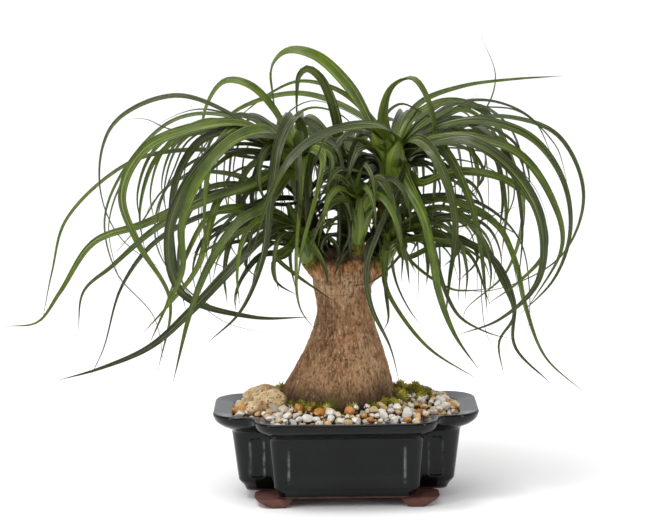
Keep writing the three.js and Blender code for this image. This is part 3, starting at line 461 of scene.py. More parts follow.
def depth_in_mouth(x, y):
    """How far a point lies inside the pot's mouth, seen from above."""
    inset, rounder = MOUTH_INSET, CORNER_LOSS * MOUTH_INSET
    lobes = (
        (POT_LENGTH / 2 - inset, SIDE_LOBE_DEPTH / 2 - inset, SIDE_CORNER - rounder),
        (FRONT_LOBE_WIDTH / 2 - WIDTH_LOSS * inset, POT_DEPTH / 2 - inset, FRONT_CORNER - rounder))
    return max(-rounded_distance(x, y, *lobe) for lobe in lobes)


def bed_height(x, y):
    """The height of the gravel, heaped towards the trunk."""
    return GRAVEL_TOP + HEAP_HEIGHT * min(max(depth_in_mouth(x, y) / HEAP_WIDTH, 0), 1)


def outside_ellipse(x, y, ellipse, room):
    middle_x, middle_y, half_x, half_y = ellipse
    return ((x - middle_x) / (half_x + room)) ** 2 + ((y - middle_y) / (half_y + room)) ** 2 > 1


def draw_from(seed):
    """A repeatable draw between 0 and 1."""
    state = seed
    while True:
        state = state * 16807 % 2147483647
        yield state / 2147483647


draw = draw_from(PEBBLE_SEED)
pebbles, taken = [], np.full((PEBBLE_TRIES + GRIT_TRIES, 4), 1e6)
for x, y, radius, tone in RIM_PEBBLES:
    taken[len(pebbles)] = (x, y, RIM_REST, radius)
    pebbles.append((np.array((x, y, RIM_REST)), radius, tone))
for index in range(PEBBLE_TRIES + GRIT_TRIES):
    marked = index < len(MARKED_PEBBLES)
    if marked:
        x, y, radius, tone = MARKED_PEBBLES[index]
        layer = PEBBLE_LAYERS[2]
    else:
        layer = PEBBLE_LAYERS[index % 3]
        x, y = POT_LENGTH * (next(draw) - 0.5), POT_DEPTH * (next(draw) - 0.5)
        radius, tone = LEAST_RADIUS + RADIUS_RANGE * next(draw) ** MOSTLY_SMALL, next(draw)
        if index >= PEBBLE_TRIES:
            radius, layer = 0.5 * radius, GRIT_LAYER
    near_wall = not marked and depth_in_mouth(x, y) < WALL_ROOM * radius
    if near_wall or not outside_ellipse(x, y, TRUNK_FOOT, TRUNK_ROOM * radius):
        continue
    if any(not outside_ellipse(x, y, (s[0], s[1], s[3], s[4]), STONE_OVERLAP) for s in STONES.values()):
        continue
    centre = (x, y, bed_height(x, y) + layer - SINK * radius + JUMBLE * (next(draw) - 0.5))
    gaps = np.linalg.norm(taken[:len(pebbles), :3] - centre, axis=1)
    if (gaps > PEBBLE_ROOM * (taken[:len(pebbles), 3] + radius)).all():
        taken[len(pebbles)] = (*centre, radius)
        pebbles.append((np.array(centre), radius, tone))

gravel_finish, tree, here = new_finish("gravel", 0.42, 0.5)
tone = value_of("pebble_tone")
stone_colour = shades(tone, {
    0.0: "e9e7e2", 0.22: "f2f0ec", 0.38: "c6c8ca", 0.52: "f5f0e4", 0.64: "e4d2ab", 0.78: "c9ad80",
    0.9: "e6cf9c", 1.0: "dcae62"})
veins = shades(grain(here, 210, 4, 0.6, 0.6), {0.28: "a0937c", 0.4: "e8e3d8", 0.6: "ffffff", 0.8: "e2d0aa"})
iron = span(grain(here, 150, 3), 0.36, 0.5) * span(tone, 0.86, 0.96)
stone_colour = coats(
    blend(0.5, stone_colour, veins, "MULTIPLY"),
    (iron * 0.92, "bd7416"),
    (span(grain(here, 75, 3), 0.46, 0.68, 0.03, 0.5), "c2904f"),
    (span(cells(here, 520), 0.02, 0.14, 0.3, 0), "8a7250"))
dress(stone_colour, grain(here, 900, 4) - cells(here, 380), 0.0005, 0.7,
      {"Subsurface Weight": 0.12, "Subsurface Radius": (0.002, 0.0016, 0.0012)})


def new_tree(name, inputs):
    """A Geometry Nodes tree with its geometry and its named inputs, and a wire from each."""
    tree = bpy.data.node_groups.new(name, "GeometryNodeTree")
    tree.interface.new_socket("Geometry", in_out="INPUT", socket_type="NodeSocketGeometry")
    for label, value in inputs.items():
        kind = "NodeSocket" + {float: "Float", int: "Int"}.get(type(value), "Material")
        tree.interface.new_socket(label, in_out="INPUT", socket_type=kind).default_value = value
    tree.interface.new_socket("Geometry", in_out="OUTPUT", socket_type="NodeSocketGeometry")
    return tree, {socket.name: Wire(socket) for socket in tree.nodes.new("NodeGroupInput").outputs}


def end_tree(geometry, material):
    """Ends the tree at hand in Realize Instances and Set Material."""
    real = put("GeometryNodeRealizeInstances", [geometry])
    made = put("GeometryNodeSetMaterial", {"Geometry": real, "Material": material})
    feed(tree.nodes.new("NodeGroupOutput").inputs[0], made)


def named(name, kind="FLOAT"):
    return put("GeometryNodeInputNamedAttribute", [name], data_type=kind)


def strew(points, instance, stem, **others):
    """Sets instances on points, turned and sized by the values named after their stem."""
    return put("GeometryNodeInstanceOnPoints", {
        "Points": points, "Instance": instance, "Rotation": named(stem + "_turn", "FLOAT_VECTOR"),
        "Scale": named(stem + "_size", "FLOAT_VECTOR"), **others})


def make_by_tree(name, points, marks, edges=()):
    """Runs the tree at hand on marked points, loose or strung on edges, and keeps the plain mesh."""
    seeds = bpy.data.meshes.new("seeds")
    seeds.from_pydata([tuple(p) for p in to_frame(points)], edges, [])
    for label, values in marks.items():
        mark(seeds, label, values)
    piece = new_object(name, seeds)
    maker = piece.modifiers.new("maker", "NODES")
    maker.node_group = tree
    for item in tree.interface.items_tree:
        if item.in_out == "INPUT" and item.name != "Geometry":
            maker[item.identifier] = item.default_value
    keep_made(piece, maker)
    return piece


# The bed under the pebbles, then a few chipped pebble shapes set on the points
bed_rings = [pot_outline(MOUTH_INSET, GRAVEL_TOP - BED_SKIRT)]
bed_rings += [pot_outline(inset, GRAVEL_TOP + HEAP_HEIGHT * (inset - MOUTH_INSET) / HEAP_WIDTH)
              for inset in np.linspace(MOUTH_INSET, MOUTH_INSET + HEAP_WIDTH, 9)]
settle(new_piece("pebble_bed", *loft(bed_rings), soil_finish), None)

tree, given = new_tree("pebbles", {
    "Knock depth": 1.2, "Knock scale": 1.1, "Chipping": 0.42, "Seed": 3, "Stone": gravel_finish})
shapes = []
for kind in range(PEBBLE_KINDS):
    where = put("GeometryNodeInputPosition")
    shifted = put("ShaderNodeVectorMath", [where, (7.3 * kind, 2.1 * kind, 0)], operation="ADD")
    lumps = put("ShaderNodeTexNoise", {
        "Vector": shifted, "W": given["Seed"] * 1.7, "Scale": given["Knock scale"], "Detail": 2.0},
        noise_dimensions="4D")
    push = put("ShaderNodeVectorMath", {0: where, "Scale": (lumps - 0.5) * given["Knock depth"]},
               operation="SCALE")
    chip = put("FunctionNodeRandomValue", {"Probability": given["Chipping"], "Seed": kind}, 3,
               data_type="BOOLEAN")
    shape = put("GeometryNodeMeshIcoSphere", {"Radius": 1.0, "Subdivisions": 2})
    shape = put("GeometryNodeSetPosition", {"Geometry": shape, "Offset": push})
    shape = put("GeometryNodeDeleteGeometry", {0: shape, "Selection": chip}, domain="POINT")
    for step in ("ConvexHull", "SetShadeSmooth", "GeometryToInstance"):
        shape = put("GeometryNode" + step, [shape])
    shapes.append(shape)
end_tree(strew(given["Geometry"], put("GeometryNodeJoinGeometry", [shapes]), "pebble", **{
    "Pick Instance": True, "Instance Index": named("pebble_kind", "INT")}), given["Stone"])
sizes = [[radius * MM * (least + more * next(draw)) for least, more in ((0.9, 0.4), (0.75, 0.3), (0.7, 0.2))]
         for _, radius, _ in pebbles]
turns = [(0.9 * (next(draw) - 0.5), 0.9 * (next(draw) - 0.5), TURN * next(draw)) for _ in pebbles]
gravel = make_by_tree("quartz_pebbles", [p[0] for p in pebbles], {
    "pebble_size": sizes, "pebble_turn": turns, "pebble_tone": [p[2] for p in pebbles],
    "pebble_kind": [int(PEBBLE_KINDS * next(draw)) for _ in pebbles]})
settle(gravel, "gravel", 31)

# THE LARGER STONES
# Three river stones bedded in the pebbles at the left: two pale sandstones, pitted and stained, and
# a smaller one speckled black. Each was rolled smooth, so only dents and pits break its surface.

stone_finish, tree, here = new_finish("stone", 0.62, 0.4)
pits = span(cells(here, 420), 0.14, 0.34, 0.9, 0)
dress(coats(
    shades(grain(here, 95, 6, 0.62, 0.5), {0.3: "8f6a44", 0.4: "c5a071", 0.54: "e3c99c", 0.72: "f6e9cf"}),
    (span(grain(here, 46, 4), 0.52, 0.7, 0, 0.6), "b98f58"),
    (pits * span(grain(here, 130, 3), 0.4, 0.55), "4a3320")), grain(here, 500, 5) - pits, 0.0014, 0.9)

shaper = bmesh.new()
bmesh.ops.create_icosphere(shaper, subdivisions=6, radius=1)
shaper.verts.index_update()
ball = np.array([v.co for v in shaper.verts])
ball_faces = [tuple(v.index for v in face.verts) for face in shaper.faces]
shaper.free()
for name, (x, y, z, *radii, turn) in STONES.items():
    offset = Vector((x, y, z)) * 0.37
    swell = np.array([
        0.2 * noise.noise(Vector(p) * 1.1 + offset) + 0.05 * noise.noise(Vector(p) * 3.1 + offset)
        - 0.035 * max(0, noise.noise(Vector(p) * 6.5 + offset)) for p in ball])
    shaped = ball * (1 + swell[:, None]) * radii
    cosine, sine = math.cos(math.radians(turn)), math.sin(math.radians(turn))
    shaped = shaped @ np.array([[cosine, sine, 0], [-sine, cosine, 0], [0, 0, 1]]) + (x, y, z)
    settle(new_piece("river_" + name, to_frame(shaped), ball_faces, stone_finish), name)

# THE TRUNK
# The palm's swollen, bottle-shaped stem, woody, with corky bark that has cracked into fine upright
# flakes. Its top was sawn off, so woody shoots and dry stubs stand round a dark cut.

# Height, radius and centre x of the trunk's levels
TRUNK_LEVELS = rows("""
    28 20 -4, 38 33 -5, 52 41 -5, 64 44 -5.6, 74 43.8 -5.8, 83 41.8 -5.5, 92 38.7 -4.1,
    102 34.7 -2.5, 112 30.3 -1.3, 122 26.3 -0.3, 133 23 0, 143 21.2 0, 151 21 -0.6, 159 21.8 -1,
    167 23.2 -1.2, 175 24.2 -0.6, 183 24 0, 187 21.8 0.6, 190.5 19.6 1""")
TRUNK_SIDES, SHOOT_SIDES, TRUNK_FLATNESS = 220, 40, 0.93
# The trunk is fluted most at this height, and round beyond this distance from it
FLUTE_HEIGHT, FLUTE_REACH = 66, 75
# x, y, z and radius along the shoot of each head, and last of the bulb at its crown
HEADS = {
    "left_head": rows("-16 4 176 9, -22 4 198 8, -28 4 215 7.5, -31 3 228 7, -34 4 251 9"),
    "right_head": rows("19 0 174 9, 27 2 196 8.5, 33 4 214 8, 36 5 228 7.5, 38 6 254 9.5"),
    "left_low_head": rows("-15 -8 170 8, -23 -11 179 7, -27 -13 184 6.5, -30 -14 199 8"),
    "right_low_head": rows("15 -7 168 8, 25 -11 178 6.5, 30 -13 183 6, 36 -15 197 6.5"),
    "front_head": rows("6 -13 178 7, 9 -20 189 6, 10 -24 199 5.5, 11 -26 224 7.5"),
    "back_head": rows("2 12 178 8, 2 24 198 7, 2 30 215 6.5, 2 32 240 8.5"),
}
# x, y, radius, foot and top of each dry stub
STUBS = [(19, -11, 2.4, 178, 193), (-9, -17, 2.2, 180, 192)]
# Where along it a shoot turns green, and never on a stub
GREEN_FROM, NEVER = 0.45, 2


def bark_height(point):
    """How far the bark stands out at a point, in millimetres: lumps, upright cracks and pits."""
    def lumps(across, up, shift=0, lift=0):
        return noise.noise(Vector((point[0] * across + shift, point[1] * across, point[2] * up + lift)))
    crack = 1 - abs(lumps(0.33, 0.1, 31)) * 5
    return (0.9 * lumps(0.09, 0.06) + 0.35 * lumps(0.03, 0.33, 9) + 0.3 * lumps(0.55, 0.16, 0, 4)
            + 0.28 * lumps(0.9, 0.55, 5) - 0.55 * max(0, crack))


def tube_rings(stations, sides):
    """Rings square to a path of (x, y, z, radius) stations."""
    points = np.array([s[:3] for s in stations], float)
    rings = []
    for index, (point, radius) in enumerate(zip(points, [s[3] for s in stations])):
        ahead, behind = points[min(index + 1, len(points) - 1)], points[max(index - 1, 0)]
        turn = Vector((0, 0, 1)).rotation_difference(Vector(ahead - behind))
        spokes = [turn @ Vector((math.cos(a), math.sin(a), 0)) for a in np.arange(sides) / sides * TURN]
        rings.append(point + radius * np.array(spokes))
    return rings


def stretch(vector, *scale):
    return put("ShaderNodeMapping", {"Vector": vector, "Scale": scale})


rings = []
angles = np.arange(TRUNK_SIDES) / TRUNK_SIDES * TURN
for z, radius, centre_x in smooth_line(TRUNK_LEVELS, 14):
    flute = max(0, 1 - abs(z - FLUTE_HEIGHT) / FLUTE_REACH)
    squash = 1 + (TRUNK_FLATNESS - 1) * flute
    wave = 0.03 * np.cos(5 * angles + 0.9) + 0.018 * np.cos(9 * angles + 2.2)
    reach = radius * (1 + flute * wave)
    ring = np.stack([centre_x + reach * np.cos(angles), squash * reach * np.sin(angles),
                     np.full(TRUNK_SIDES, z)], 1)
    rough = np.array([bark_height(p) for p in ring])
    ring[:, 0] += rough * np.cos(angles)
    ring[:, 1] += rough * np.sin(angles)
    rings.append(ring)
# The saw cut dips a little towards the pith
cut, pith = rings[-1], rings[-1].mean(0)
for part in (0.94, 0.8, 0.6, 0.4, 0.2):
    ring = pith + (cut - pith) * part
    ring[:, 2] = pith[2] - 1.4 * (1 - part) + 0.25 * np.sin(angles * 35)
    rings.append(ring)
points, faces = loft(rings)
green_stem = [np.zeros(len(points))]
shoots = [(stations[:-1], GREEN_FROM) for stations in HEADS.values()]
shoots += [([(x, y, low, r), (x, y, (low + high) / 2, r), (x, y, high, 0.8 * r)], NEVER)
           for x, y, r, low, high in STUBS]
for stations, green_from in shoots:
    fine = smooth_line(stations, 12)
    shoot_rings = np.array(tube_rings([tuple(s) for s in fine], SHOOT_SIDES))
    scar = 0.3 * np.abs(np.sin(np.arange(len(fine)) * 1.1))[:, None, None]
    rough = np.array([[0.5 * bark_height(p) for p in ring] for ring in shoot_rings])[..., None] + scar
    away = shoot_rings - fine[:, None, :3]
    shoot_rings = shoot_rings + away / np.linalg.norm(away, axis=2, keepdims=True) * rough
    greener = np.clip((np.linspace(0, 1, len(fine)) - green_from) / 0.3, 0, 1)
    green_stem.append(np.repeat(greener, SHOOT_SIDES))
    more, more_faces = loft(list(shoot_rings))
    faces += [tuple(v + len(points) for v in face) for face in more_faces]
    points = np.concatenate([points, more])

bark, tree, here = new_finish("bark", 0.86, 0.25)
height = component(here, 2)
fibres = grain(stretch(here, 1, 1, 0.35), 760, 5, 0.75)
flakes = grain(stretch(here, 1, 1, 0.36), 360, 4, 0.7, 0.4)
pits = span(cells(stretch(here, 1, 1, 0.6), 330), 0.12, 0.32, 1, 0) * span(grain(here, 75, 3), 0.48, 0.64)
rust = grain(stretch(here, 1, 1, 0.22), 150, 4, 0.65, 0.5)
growth_rings = span(grain(stretch(here, 0.12, 0.12, 1), 190, 3, 0.6, 0.3), 0.54, 0.66)
# The edge of the painted shade round the trunk's foot, made ragged by noise
foot_shade_edge = height + grain(here, 60, 4) * -0.03
algae = span(height, 0.078, 0.098, 0.7, 0) * span(grain(here, 70, 4), 0.5, 0.62)
# The bark is torn to its orange inside under the saw cut, and scorched dark along the cut's edge
cut_edge = height + grain(here, 90, 4) * 0.014
torn = span(cut_edge, 0.174, 0.186) * span(grain(stretch(here, 1, 1, 0.6), 80, 6, 0.7), 0.4, 0.54, 0, 0.85)
bark_colour = coats(
    shades(grain(stretch(here, 1, 1, 0.55), 48, 5, 0.65, 0.4), {
        0.28: "6f4c35", 0.4: "926a4a", 0.5: "ae845e", 0.62: "c9a17a", 0.76: "ba977a"}),
    (span(flakes, 0.36, 0.5, 0.7, 0), "4f3722"),
    (span(flakes, 0.54, 0.68, 0, 0.7), "d9bf9a"),
    (span(fibres, 0.36, 0.48, 0.7, 0), "38261a"),
    (span(fibres, 0.56, 0.68, 0, 0.65), "ead6b6"),
    (pits * 0.75, "352213"),
    (span(rust, 0.54, 0.7, 0, 0.55), "a5652f"),
    (growth_rings * span(height, 0.11, 0.15, 0.1, 0.35), "54391f"),
    # Painted shade, darker towards the foot of the trunk
    (span(foot_shade_edge, 0.058, 0.084, 0.85, 0), "2f1f14"),
    (algae, "5b5a24"),
    (torn, shades(flakes, {0.4: "3f2814", 0.5: "8f5a28", 0.6: "c6853f"})),
    (span(cut_edge, 0.187, 0.192, 0, 0.9), "2b211a"),
    (value_of("green_stem") * 0.85, shades(flakes, {0.35: "35340f", 0.5: "67651f", 0.65: "918f2c"})))
dress(bark_colour, flakes + fibres * 0.7 - pits * 0.8 + grain(here, 1300, 2) * 0.3, 0.0022, 0.9)

trunk = new_piece("bark_trunk", points, faces, bark)
mark(trunk.data, "green_stem", np.concatenate(green_stem))
settle(trunk, "trunk", 70)

# THE MOSS
# Living cushion moss that has grown over the soil round the trunk's foot, thickest at the right.
# Each cushion is a mound of fine shoots, yellow green at their tips and brown at their feet.

# Centre, half sizes and height of each cushion, in millimetres
MOSS_CUSHIONS = rows("""
    53 12 15 13 7, 42 -14 9 10 5, 62 -4 9 8 5, 44 30 10 8 5, 34 -29 10 6 4, 24 -36 8 4 3,
    8 -41 7 2.5 2, -12 -42 8 3 3, -24 -40 8 4 4, -35 -32 8 5 4.5, -44 -22 6 6 4, -50 18 6 6 8,
    -42 31 9 6 4, -20 43 13 5 4, 8 44 14 5 4, 30 38 9 6 4""")
MOSS_PER_AREA, MOSS_SEED = 1.1, 29
MOSS_LUMPS, MOSS_GAPS = 0.2, -0.3
MOSS_FROM_WALL, MOSS_UNDER_TRUNK, MOSS_LIFT = 1.5, -3.5, 2.4

moss_finish, tree, here = new_finish("moss", 0.85, 0.2)
moss_colour = shades(value_of("moss_tip"), {0.0: "33270f", 0.35: "6e6722", 0.7: "a39e3e", 1.0: "d0c961"})
dress(coats(moss_colour, (span(grain(here, 120, 4), 0.45, 0.65, 0, 0.6), "5c4a20")),
      grain(here, 2500, 2), 0.0003, 0.6)

draw = draw_from(MOSS_SEED)
tufts, sizes, turns, tips = [], [], [], []
for x, y, half_x, half_y, rise in MOSS_CUSHIONS:
    for _ in range(int(MOSS_PER_AREA * half_x * half_y)):
        angle, out = TURN * next(draw), math.sqrt(next(draw))
        px, py = x + half_x * out * math.cos(angle), y + half_y * out * math.sin(angle)
        at_wall = depth_in_mouth(px, py) < MOSS_FROM_WALL
        if at_wall or not outside_ellipse(px, py, TRUNK_FOOT, MOSS_UNDER_TRUNK):
            continue
        lump = noise.noise(Vector((px, py, 3)) * MOSS_LUMPS)
        if lump < MOSS_GAPS:
            continue
        lift = max(0, rise * (1 - out ** 2) * (0.7 + 0.5 * lump) + 2.2 * lump)
        tufts.append((px, py, bed_height(px, py) + MOSS_LIFT + lift))
        size = 1.2 + 1.1 * next(draw)
        sizes.append((size * MM, size * MM, size * MM * (0.9 + 0.6 * next(draw))))
        turns.append((0.7 * (next(draw) - 0.5), 0.7 * (next(draw) - 0.5), TURN * next(draw)))
        tips.append(min(1, 0.2 + 0.5 * next(draw) + 0.04 * lift + 0.6 * lump))

tree, given = new_tree("moss", {"Shoot length": 1.3, "Shoot width": 0.2, "Moss": moss_finish})
core = put("GeometryNodeMeshIcoSphere", {"Radius": 0.55, "Subdivisions": 1})
upright = put("FunctionNodeAlignRotationToVector", {"Vector": put("GeometryNodeInputNormal")}, axis="Z")
shoot = put("GeometryNodeMeshCone", {
    "Vertices": 3, "Side Segments": 1, "Radius Bottom": given["Shoot width"], "Depth": given["Shoot length"]},
    fill_type="NONE")
fan = put("GeometryNodeInstanceOnPoints", {"Points": core, "Instance": shoot, "Rotation": upright})
tuft = put("GeometryNodeJoinGeometry", [[put("GeometryNodeRealizeInstances", [fan]), core]])
end_tree(strew(given["Geometry"], tuft, "tuft"), given["Moss"])
moss = make_by_tree("cushion_moss", tufts, {"tuft_size": sizes, "tuft_turn": turns, "moss_tip": tips})
settle(moss, None)

# THE LEAFY HEADS
# Each shoot ends in a bulb of wrapped leaf bases, pale yellow green, from which long strap leaves
# rise and arch over. A leaf is leathery and channelled, with fine ribs, and narrows to a dry tip.

# Single leaves, one on each line: width, roll towards the front in degrees, and x, y and z of the
# points on its way
LEAVES = {
    "left_head": """
8 25 -77 -8 289 -125 -14 308 -171 -12 288 -184 -5 245 -172 5 202 -132 12 168,
10 55 -73 -25 287 -110 -35 286 -147 -40 271 -164 -40 238 -154 -38 203 -131 -30 157 -142 -25 101,
7 25 -89 15 290 -128 20 287 -163 22 255 -183 22 213 -175 18 171 -146 10 136 -139 5 92,
7 30 -85 30 283 -125 38 278 -165 42 246 -182 40 205 -173 35 153,
7 30 -71 5 259 -109 8 265 -160 5 257 -210 0 215 -222 -3 176 -232 -6 131,
9 45 -70 -20 240 -107 -28 232 -149 -30 214 -187 -30 201 -214 -28 163 -232 -26 140 -257 -25 137,
8 45 -73 -38 242 -106 -48 232 -140 -52 213 -172 -52 186 -194 -50 167 -199 -50 137,
8 35 -68 10 221 -106 12 215 -145 12 194 -170 10 161 -185 6 114 -198 4 89,
11 60 -56 -30 278 -83 -55 279 -112 -70 252 -128 -75 212 -120 -72 169 -70 -64 149 -25 -58 147,
9 50 -66 -10 281 -103 -20 277 -122 -25 253 -129 -26 220 -127 -24 184 -120 -20 146,
9 55 -60 -60 230 -78 -75 221 -96 -88 197 -111 -92 163 -127 -88 104,
10 60 -58 -45 285 -81 -62 280 -104 -78 256 -118 -86 221 -118 -88 188 -132 -84 158 -144 -80 132,
8 50 -70 -35 240 -90 -45 237 -99 -50 216 -109 -50 184 -130 -48 157 -151 -45 134,
10 60 -31 -12 276 -36 -25 293 -48 -55 275 -54 -70 240 -60 -75 196 -77 -72 155 -102 -66 130,
9 35 -49 8 289 -70 14 313 -89 20 316 -104 26 295 -108 30 256 -110 30 193,
8 60 -29 -25 262 -30 -48 244 -35 -60 190 -33 -58 154 -20 -55 134,
9 60 -23 -25 268 -14 -45 264 -19 -62 239 -30 -66 202 -36 -64 168,
9 60 -19 -20 269 -8 -35 265 -10 -50 244 -20 -56 197,
8 40 -52 40 273 -76 60 276 -90 75 259 -93 82 226 -82 82 178,
7 40 -44 45 277 -66 70 271 -77 85 253 -79 92 225 -77 95 196,
8 40 -39 55 272 -57 80 266 -67 100 244 -69 108 219 -65 110 182,
7 30 -60 30 233 -84 48 241 -112 58 242 -140 62 229 -157 62 205 -182 55 177,
7 35 -61 -15 237 -81 -22 242 -104 -28 238 -121 -32 206 -121 -30 169 -93 -26 146,
4 20 -75 35 284 -110 50 293 -138 58 284 -150 60 274,
4 20 -81 -5 278 -111 -10 279 -133 -12 284 -148 -12 291 -166 -12 291,
6 30 -75 20 264 -118 30 252 -142 34 221 -143 34 184 -99 28 133 -58 24 119""",
    "right_head": """
15.5 60 19 -8 287 2 -12 315 -20 -10 336 -40 -5 340 -52 2 329 -52 10 307 -49 16 283,
11 60 32 -6 292 39 -10 313 52 -16 319 65 -22 297 68 -24 255 65 -22 199,
6 30 47 20 281 61 30 298 93 38 309 134 42 314 171 44 316,
6 30 59 15 278 83 25 295 114 32 298 147 36 283 163 38 253,
7 30 62 0 277 89 -2 286 126 -4 288 162 -6 274 181 -8 230 164 -8 183 111 -6 157 80 -6 160,
9 45 65 -20 280 102 -30 288 139 -36 276 162 -38 245 168 -38 207 157 -36 171 130 -32 141,
9 45 65 -30 275 97 -45 277 130 -55 265 153 -60 232 160 -60 199 134 -52 148,
11 55 64 -40 272 93 -58 276 123 -70 256 143 -76 220 141 -74 175 114 -68 146 83 -62 133,
9 45 57 -25 241 83 -38 251 119 -48 246 143 -52 223 148 -52 194 130 -48 171 105 -44 152,
10 60 54 -30 275 65 -50 269 78 -66 241 82 -70 212 77 -68 175 74 -64 146,
8 50 65 -20 275 79 -38 263 92 -48 235 100 -52 202 106 -48 147,
12 60 48 -42 243 59 -62 223 65 -72 198 69 -76 169 80 -74 137 99 -70 107,
10 60 46 -25 254 38 -45 239 25 -62 214 15 -68 185 18 -66 157 33 -60 123 40 -56 95,
10 50 53 20 284 81 32 297 111 42 287 132 50 247 140 52 207 127 48 163 94 42 132 96 40 118,
9 45 68 45 266 104 65 263 129 78 244 136 82 219 113 78 174,
7 40 68 50 271 97 80 270 114 95 250 107 100 221 90 100 201,
3 20 77 60 270 101 75 276 117 82 293 122 84 315 111 86 345,
10 50 41 -20 274 24 -38 286 -6 -55 285 -30 -66 274 -48 -78 252 -69 -84 196,
8 35 25 20 278 2 30 294 -32 38 304 -67 42 298 -91 44 284 -126 42 235,
6 35 23 45 284 -1 55 305 -32 60 313 -57 62 303 -84 62 283""",
    "left_low_head": """
7 45 -48 -30 211 -70 -45 212 -92 -55 203 -112 -60 193,
9 50 -44 -35 212 -61 -55 206 -88 -75 182 -113 -82 157 -143 -84 131 -180 -82 115 -212 -80 106,
7 45 -45 -20 190 -62 -28 189 -74 -32 177 -82 -33 160 -82 -33 148,
5 45 -44 -30 189 -53 -40 186 -51 -46 172 -36 -48 162,
5 45 -42 -28 195 -51 -40 190 -37 -44 177 -7 -47 156,
8 45 -48 -20 219 -74 -28 225 -98 -32 221 -125 -30 175 -139 -26 142,
7 40 -45 20 198 -69 45 211 -93 60 206 -109 68 188 -114 68 132,
7 60 -22 -28 195 -18 -33 189 -14 -37 180 -12 -38 166""",
    "right_low_head": """
9 45 58 0 223 85 -3 224 115 -6 207 130 -8 177 137 -8 146 153 -6 104 185 -4 74,
6 30 55 25 223 83 35 226 114 42 214 137 46 188 144 46 148 143 44 115,
9 45 61 -20 220 83 -32 219 101 -40 201 116 -44 171 127 -44 142 116 -42 121 120 -40 94,
8 45 57 -18 198 83 -24 199 111 -28 184 126 -30 153 127 -30 119 156 -26 88,
6 45 46 -30 186 71 -42 197 92 -48 191 108 -50 153,
5 50 31 -25 183 30 -38 167 41 -46 146 63 -50 120 100 -50 96,
4 40 36 -5 180 40 0 161 49 4 142 58 6 129,
7 60 29 -35 184 30 -44 164 32 -46 141 28 -46 133,
7 50 40 -35 212 43 -45 200 53 -52 178,
4 45 46 -30 195 40 -44 188 22 -52 173 1 -52 168,
8 45 51 25 204 76 50 208 100 66 192 107 70 137""",
    "front_head": """
7 50 6 -32 242 1 -45 255 -6 -58 255 -14 -64 242,
7 50 12 -34 246 16 -50 259 21 -62 251 23 -68 231,
7 50 1 -45 232 -10 -60 231 -19 -68 217 -25 -70 199,
7 50 19 -42 236 30 -58 234 39 -66 216 43 -68 190""",
    "back_head": """
10 60 -5 34 286 -13 36 312 -19 37 321 -26 38 325 -32 40 320 -34 43 306 -35 46 280""",
}
# Thinner, younger leaves between them, in the same way
THIN_LEAVES = {
    "left_head": """
4 25 -70 10 282 -109 20 253 -131 24 238 -148 26 222 -155 26 206 -163 24 190,
3 25 -66 -15 292 -114 -30 277 -126 -34 255 -137 -36 227 -139 -36 209 -134 -34 186 -129 -32 174,
6 40 -49 -25 238 -61 -36 221 -81 -48 225 -95 -54 224 -98 -56 213 -101 -56 198 -103 -54 192,
4 30 -59 -20 240 -70 -26 246 -92 -34 253 -103 -38 254 -114 -40 250 -121 -40 241,
3 30 -65 8 237 -86 14 239 -106 20 233 -122 22 223 -134 22 209,
4 40 -61 -40 229 -71 -64 199 -73 -66 184 -79 -66 169 -81 -64 156,
3 20 -43 0 290 -24 4 302 -2 10 296 15 14 285 23 16 269,
3 25 -40 15 284 -26 22 295 -5 32 291 8 38 280 14 40 264""",
    "right_head": """
4 35 22 -14 280 5 -28 284 -10 -38 280 -19 -42 265 -23 -42 244,
3 30 32 10 288 44 16 298 60 24 291 72 30 282 83 34 267,
4 30 51 -10 275 65 -16 285 82 -22 296 96 -26 305 102 -28 309,
8 35 47 -8 273 58 -14 288 69 -18 296 80 -22 302 91 -24 301 104 -26 295 114 -26 283,
3 30 66 -8 284 81 -14 293 94 -20 298 110 -24 298 125 -28 297 135 -30 293
    146 -32 284 154 -32 275 160 -32 266 166 -32 244 168 -30 229,
3 30 58 -18 254 75 -26 259 91 -32 259 113 -38 251 125 -40 238,
3 30 63 16 263 98 30 261 126 38 252 146 42 234 157 42 212 161 40 189,
4 35 54 -20 204 67 -30 209 83 -40 210 101 -48 216 119 -52 224 130 -54 228,
5 40 50 -14 222 65 -22 229 87 -34 226 106 -42 217 119 -46 203 125 -46 185 129 -44 165,
5 40 44 16 221 59 28 219 83 42 220 95 48 214 106 52 202 110 52 183,
6 45 39 -30 233 51 -44 235 60 -58 217 66 -64 197 71 -64 176 77 -62 159 86 -58 145 108 -52 132 125 -48 127""",
    "right_low_head": """
6 45 35 -22 191 43 -28 198 64 -38 201 82 -46 199 97 -50 191 103 -50 186 108 -50 173,
4 35 50 -20 182 79 -34 163 94 -38 162 116 -40 165,
4 40 55 8 196 86 16 189 104 20 169 106 20 145 109 20 122 120 18 94,
3 40 46 -28 200 60 -36 204 77 -42 192 85 -42 171""",
    "left_low_head": """
4 40 -44 -24 203 -61 -34 211 -79 -40 206 -93 -42 191 -99 -40 170,
3 35 -46 6 205 -66 14 209 -86 20 205 -102 22 191 -111 20 171,
4 45 -44 -20 200 -56 -28 196 -65 -32 183 -70 -32 165""",
    "front_head": """
4 45 5 -36 237 -4 -46 248 -13 -54 244 -19 -56 230,
4 45 15 -36 239 24 -46 249 33 -54 245 37 -56 230""",
}
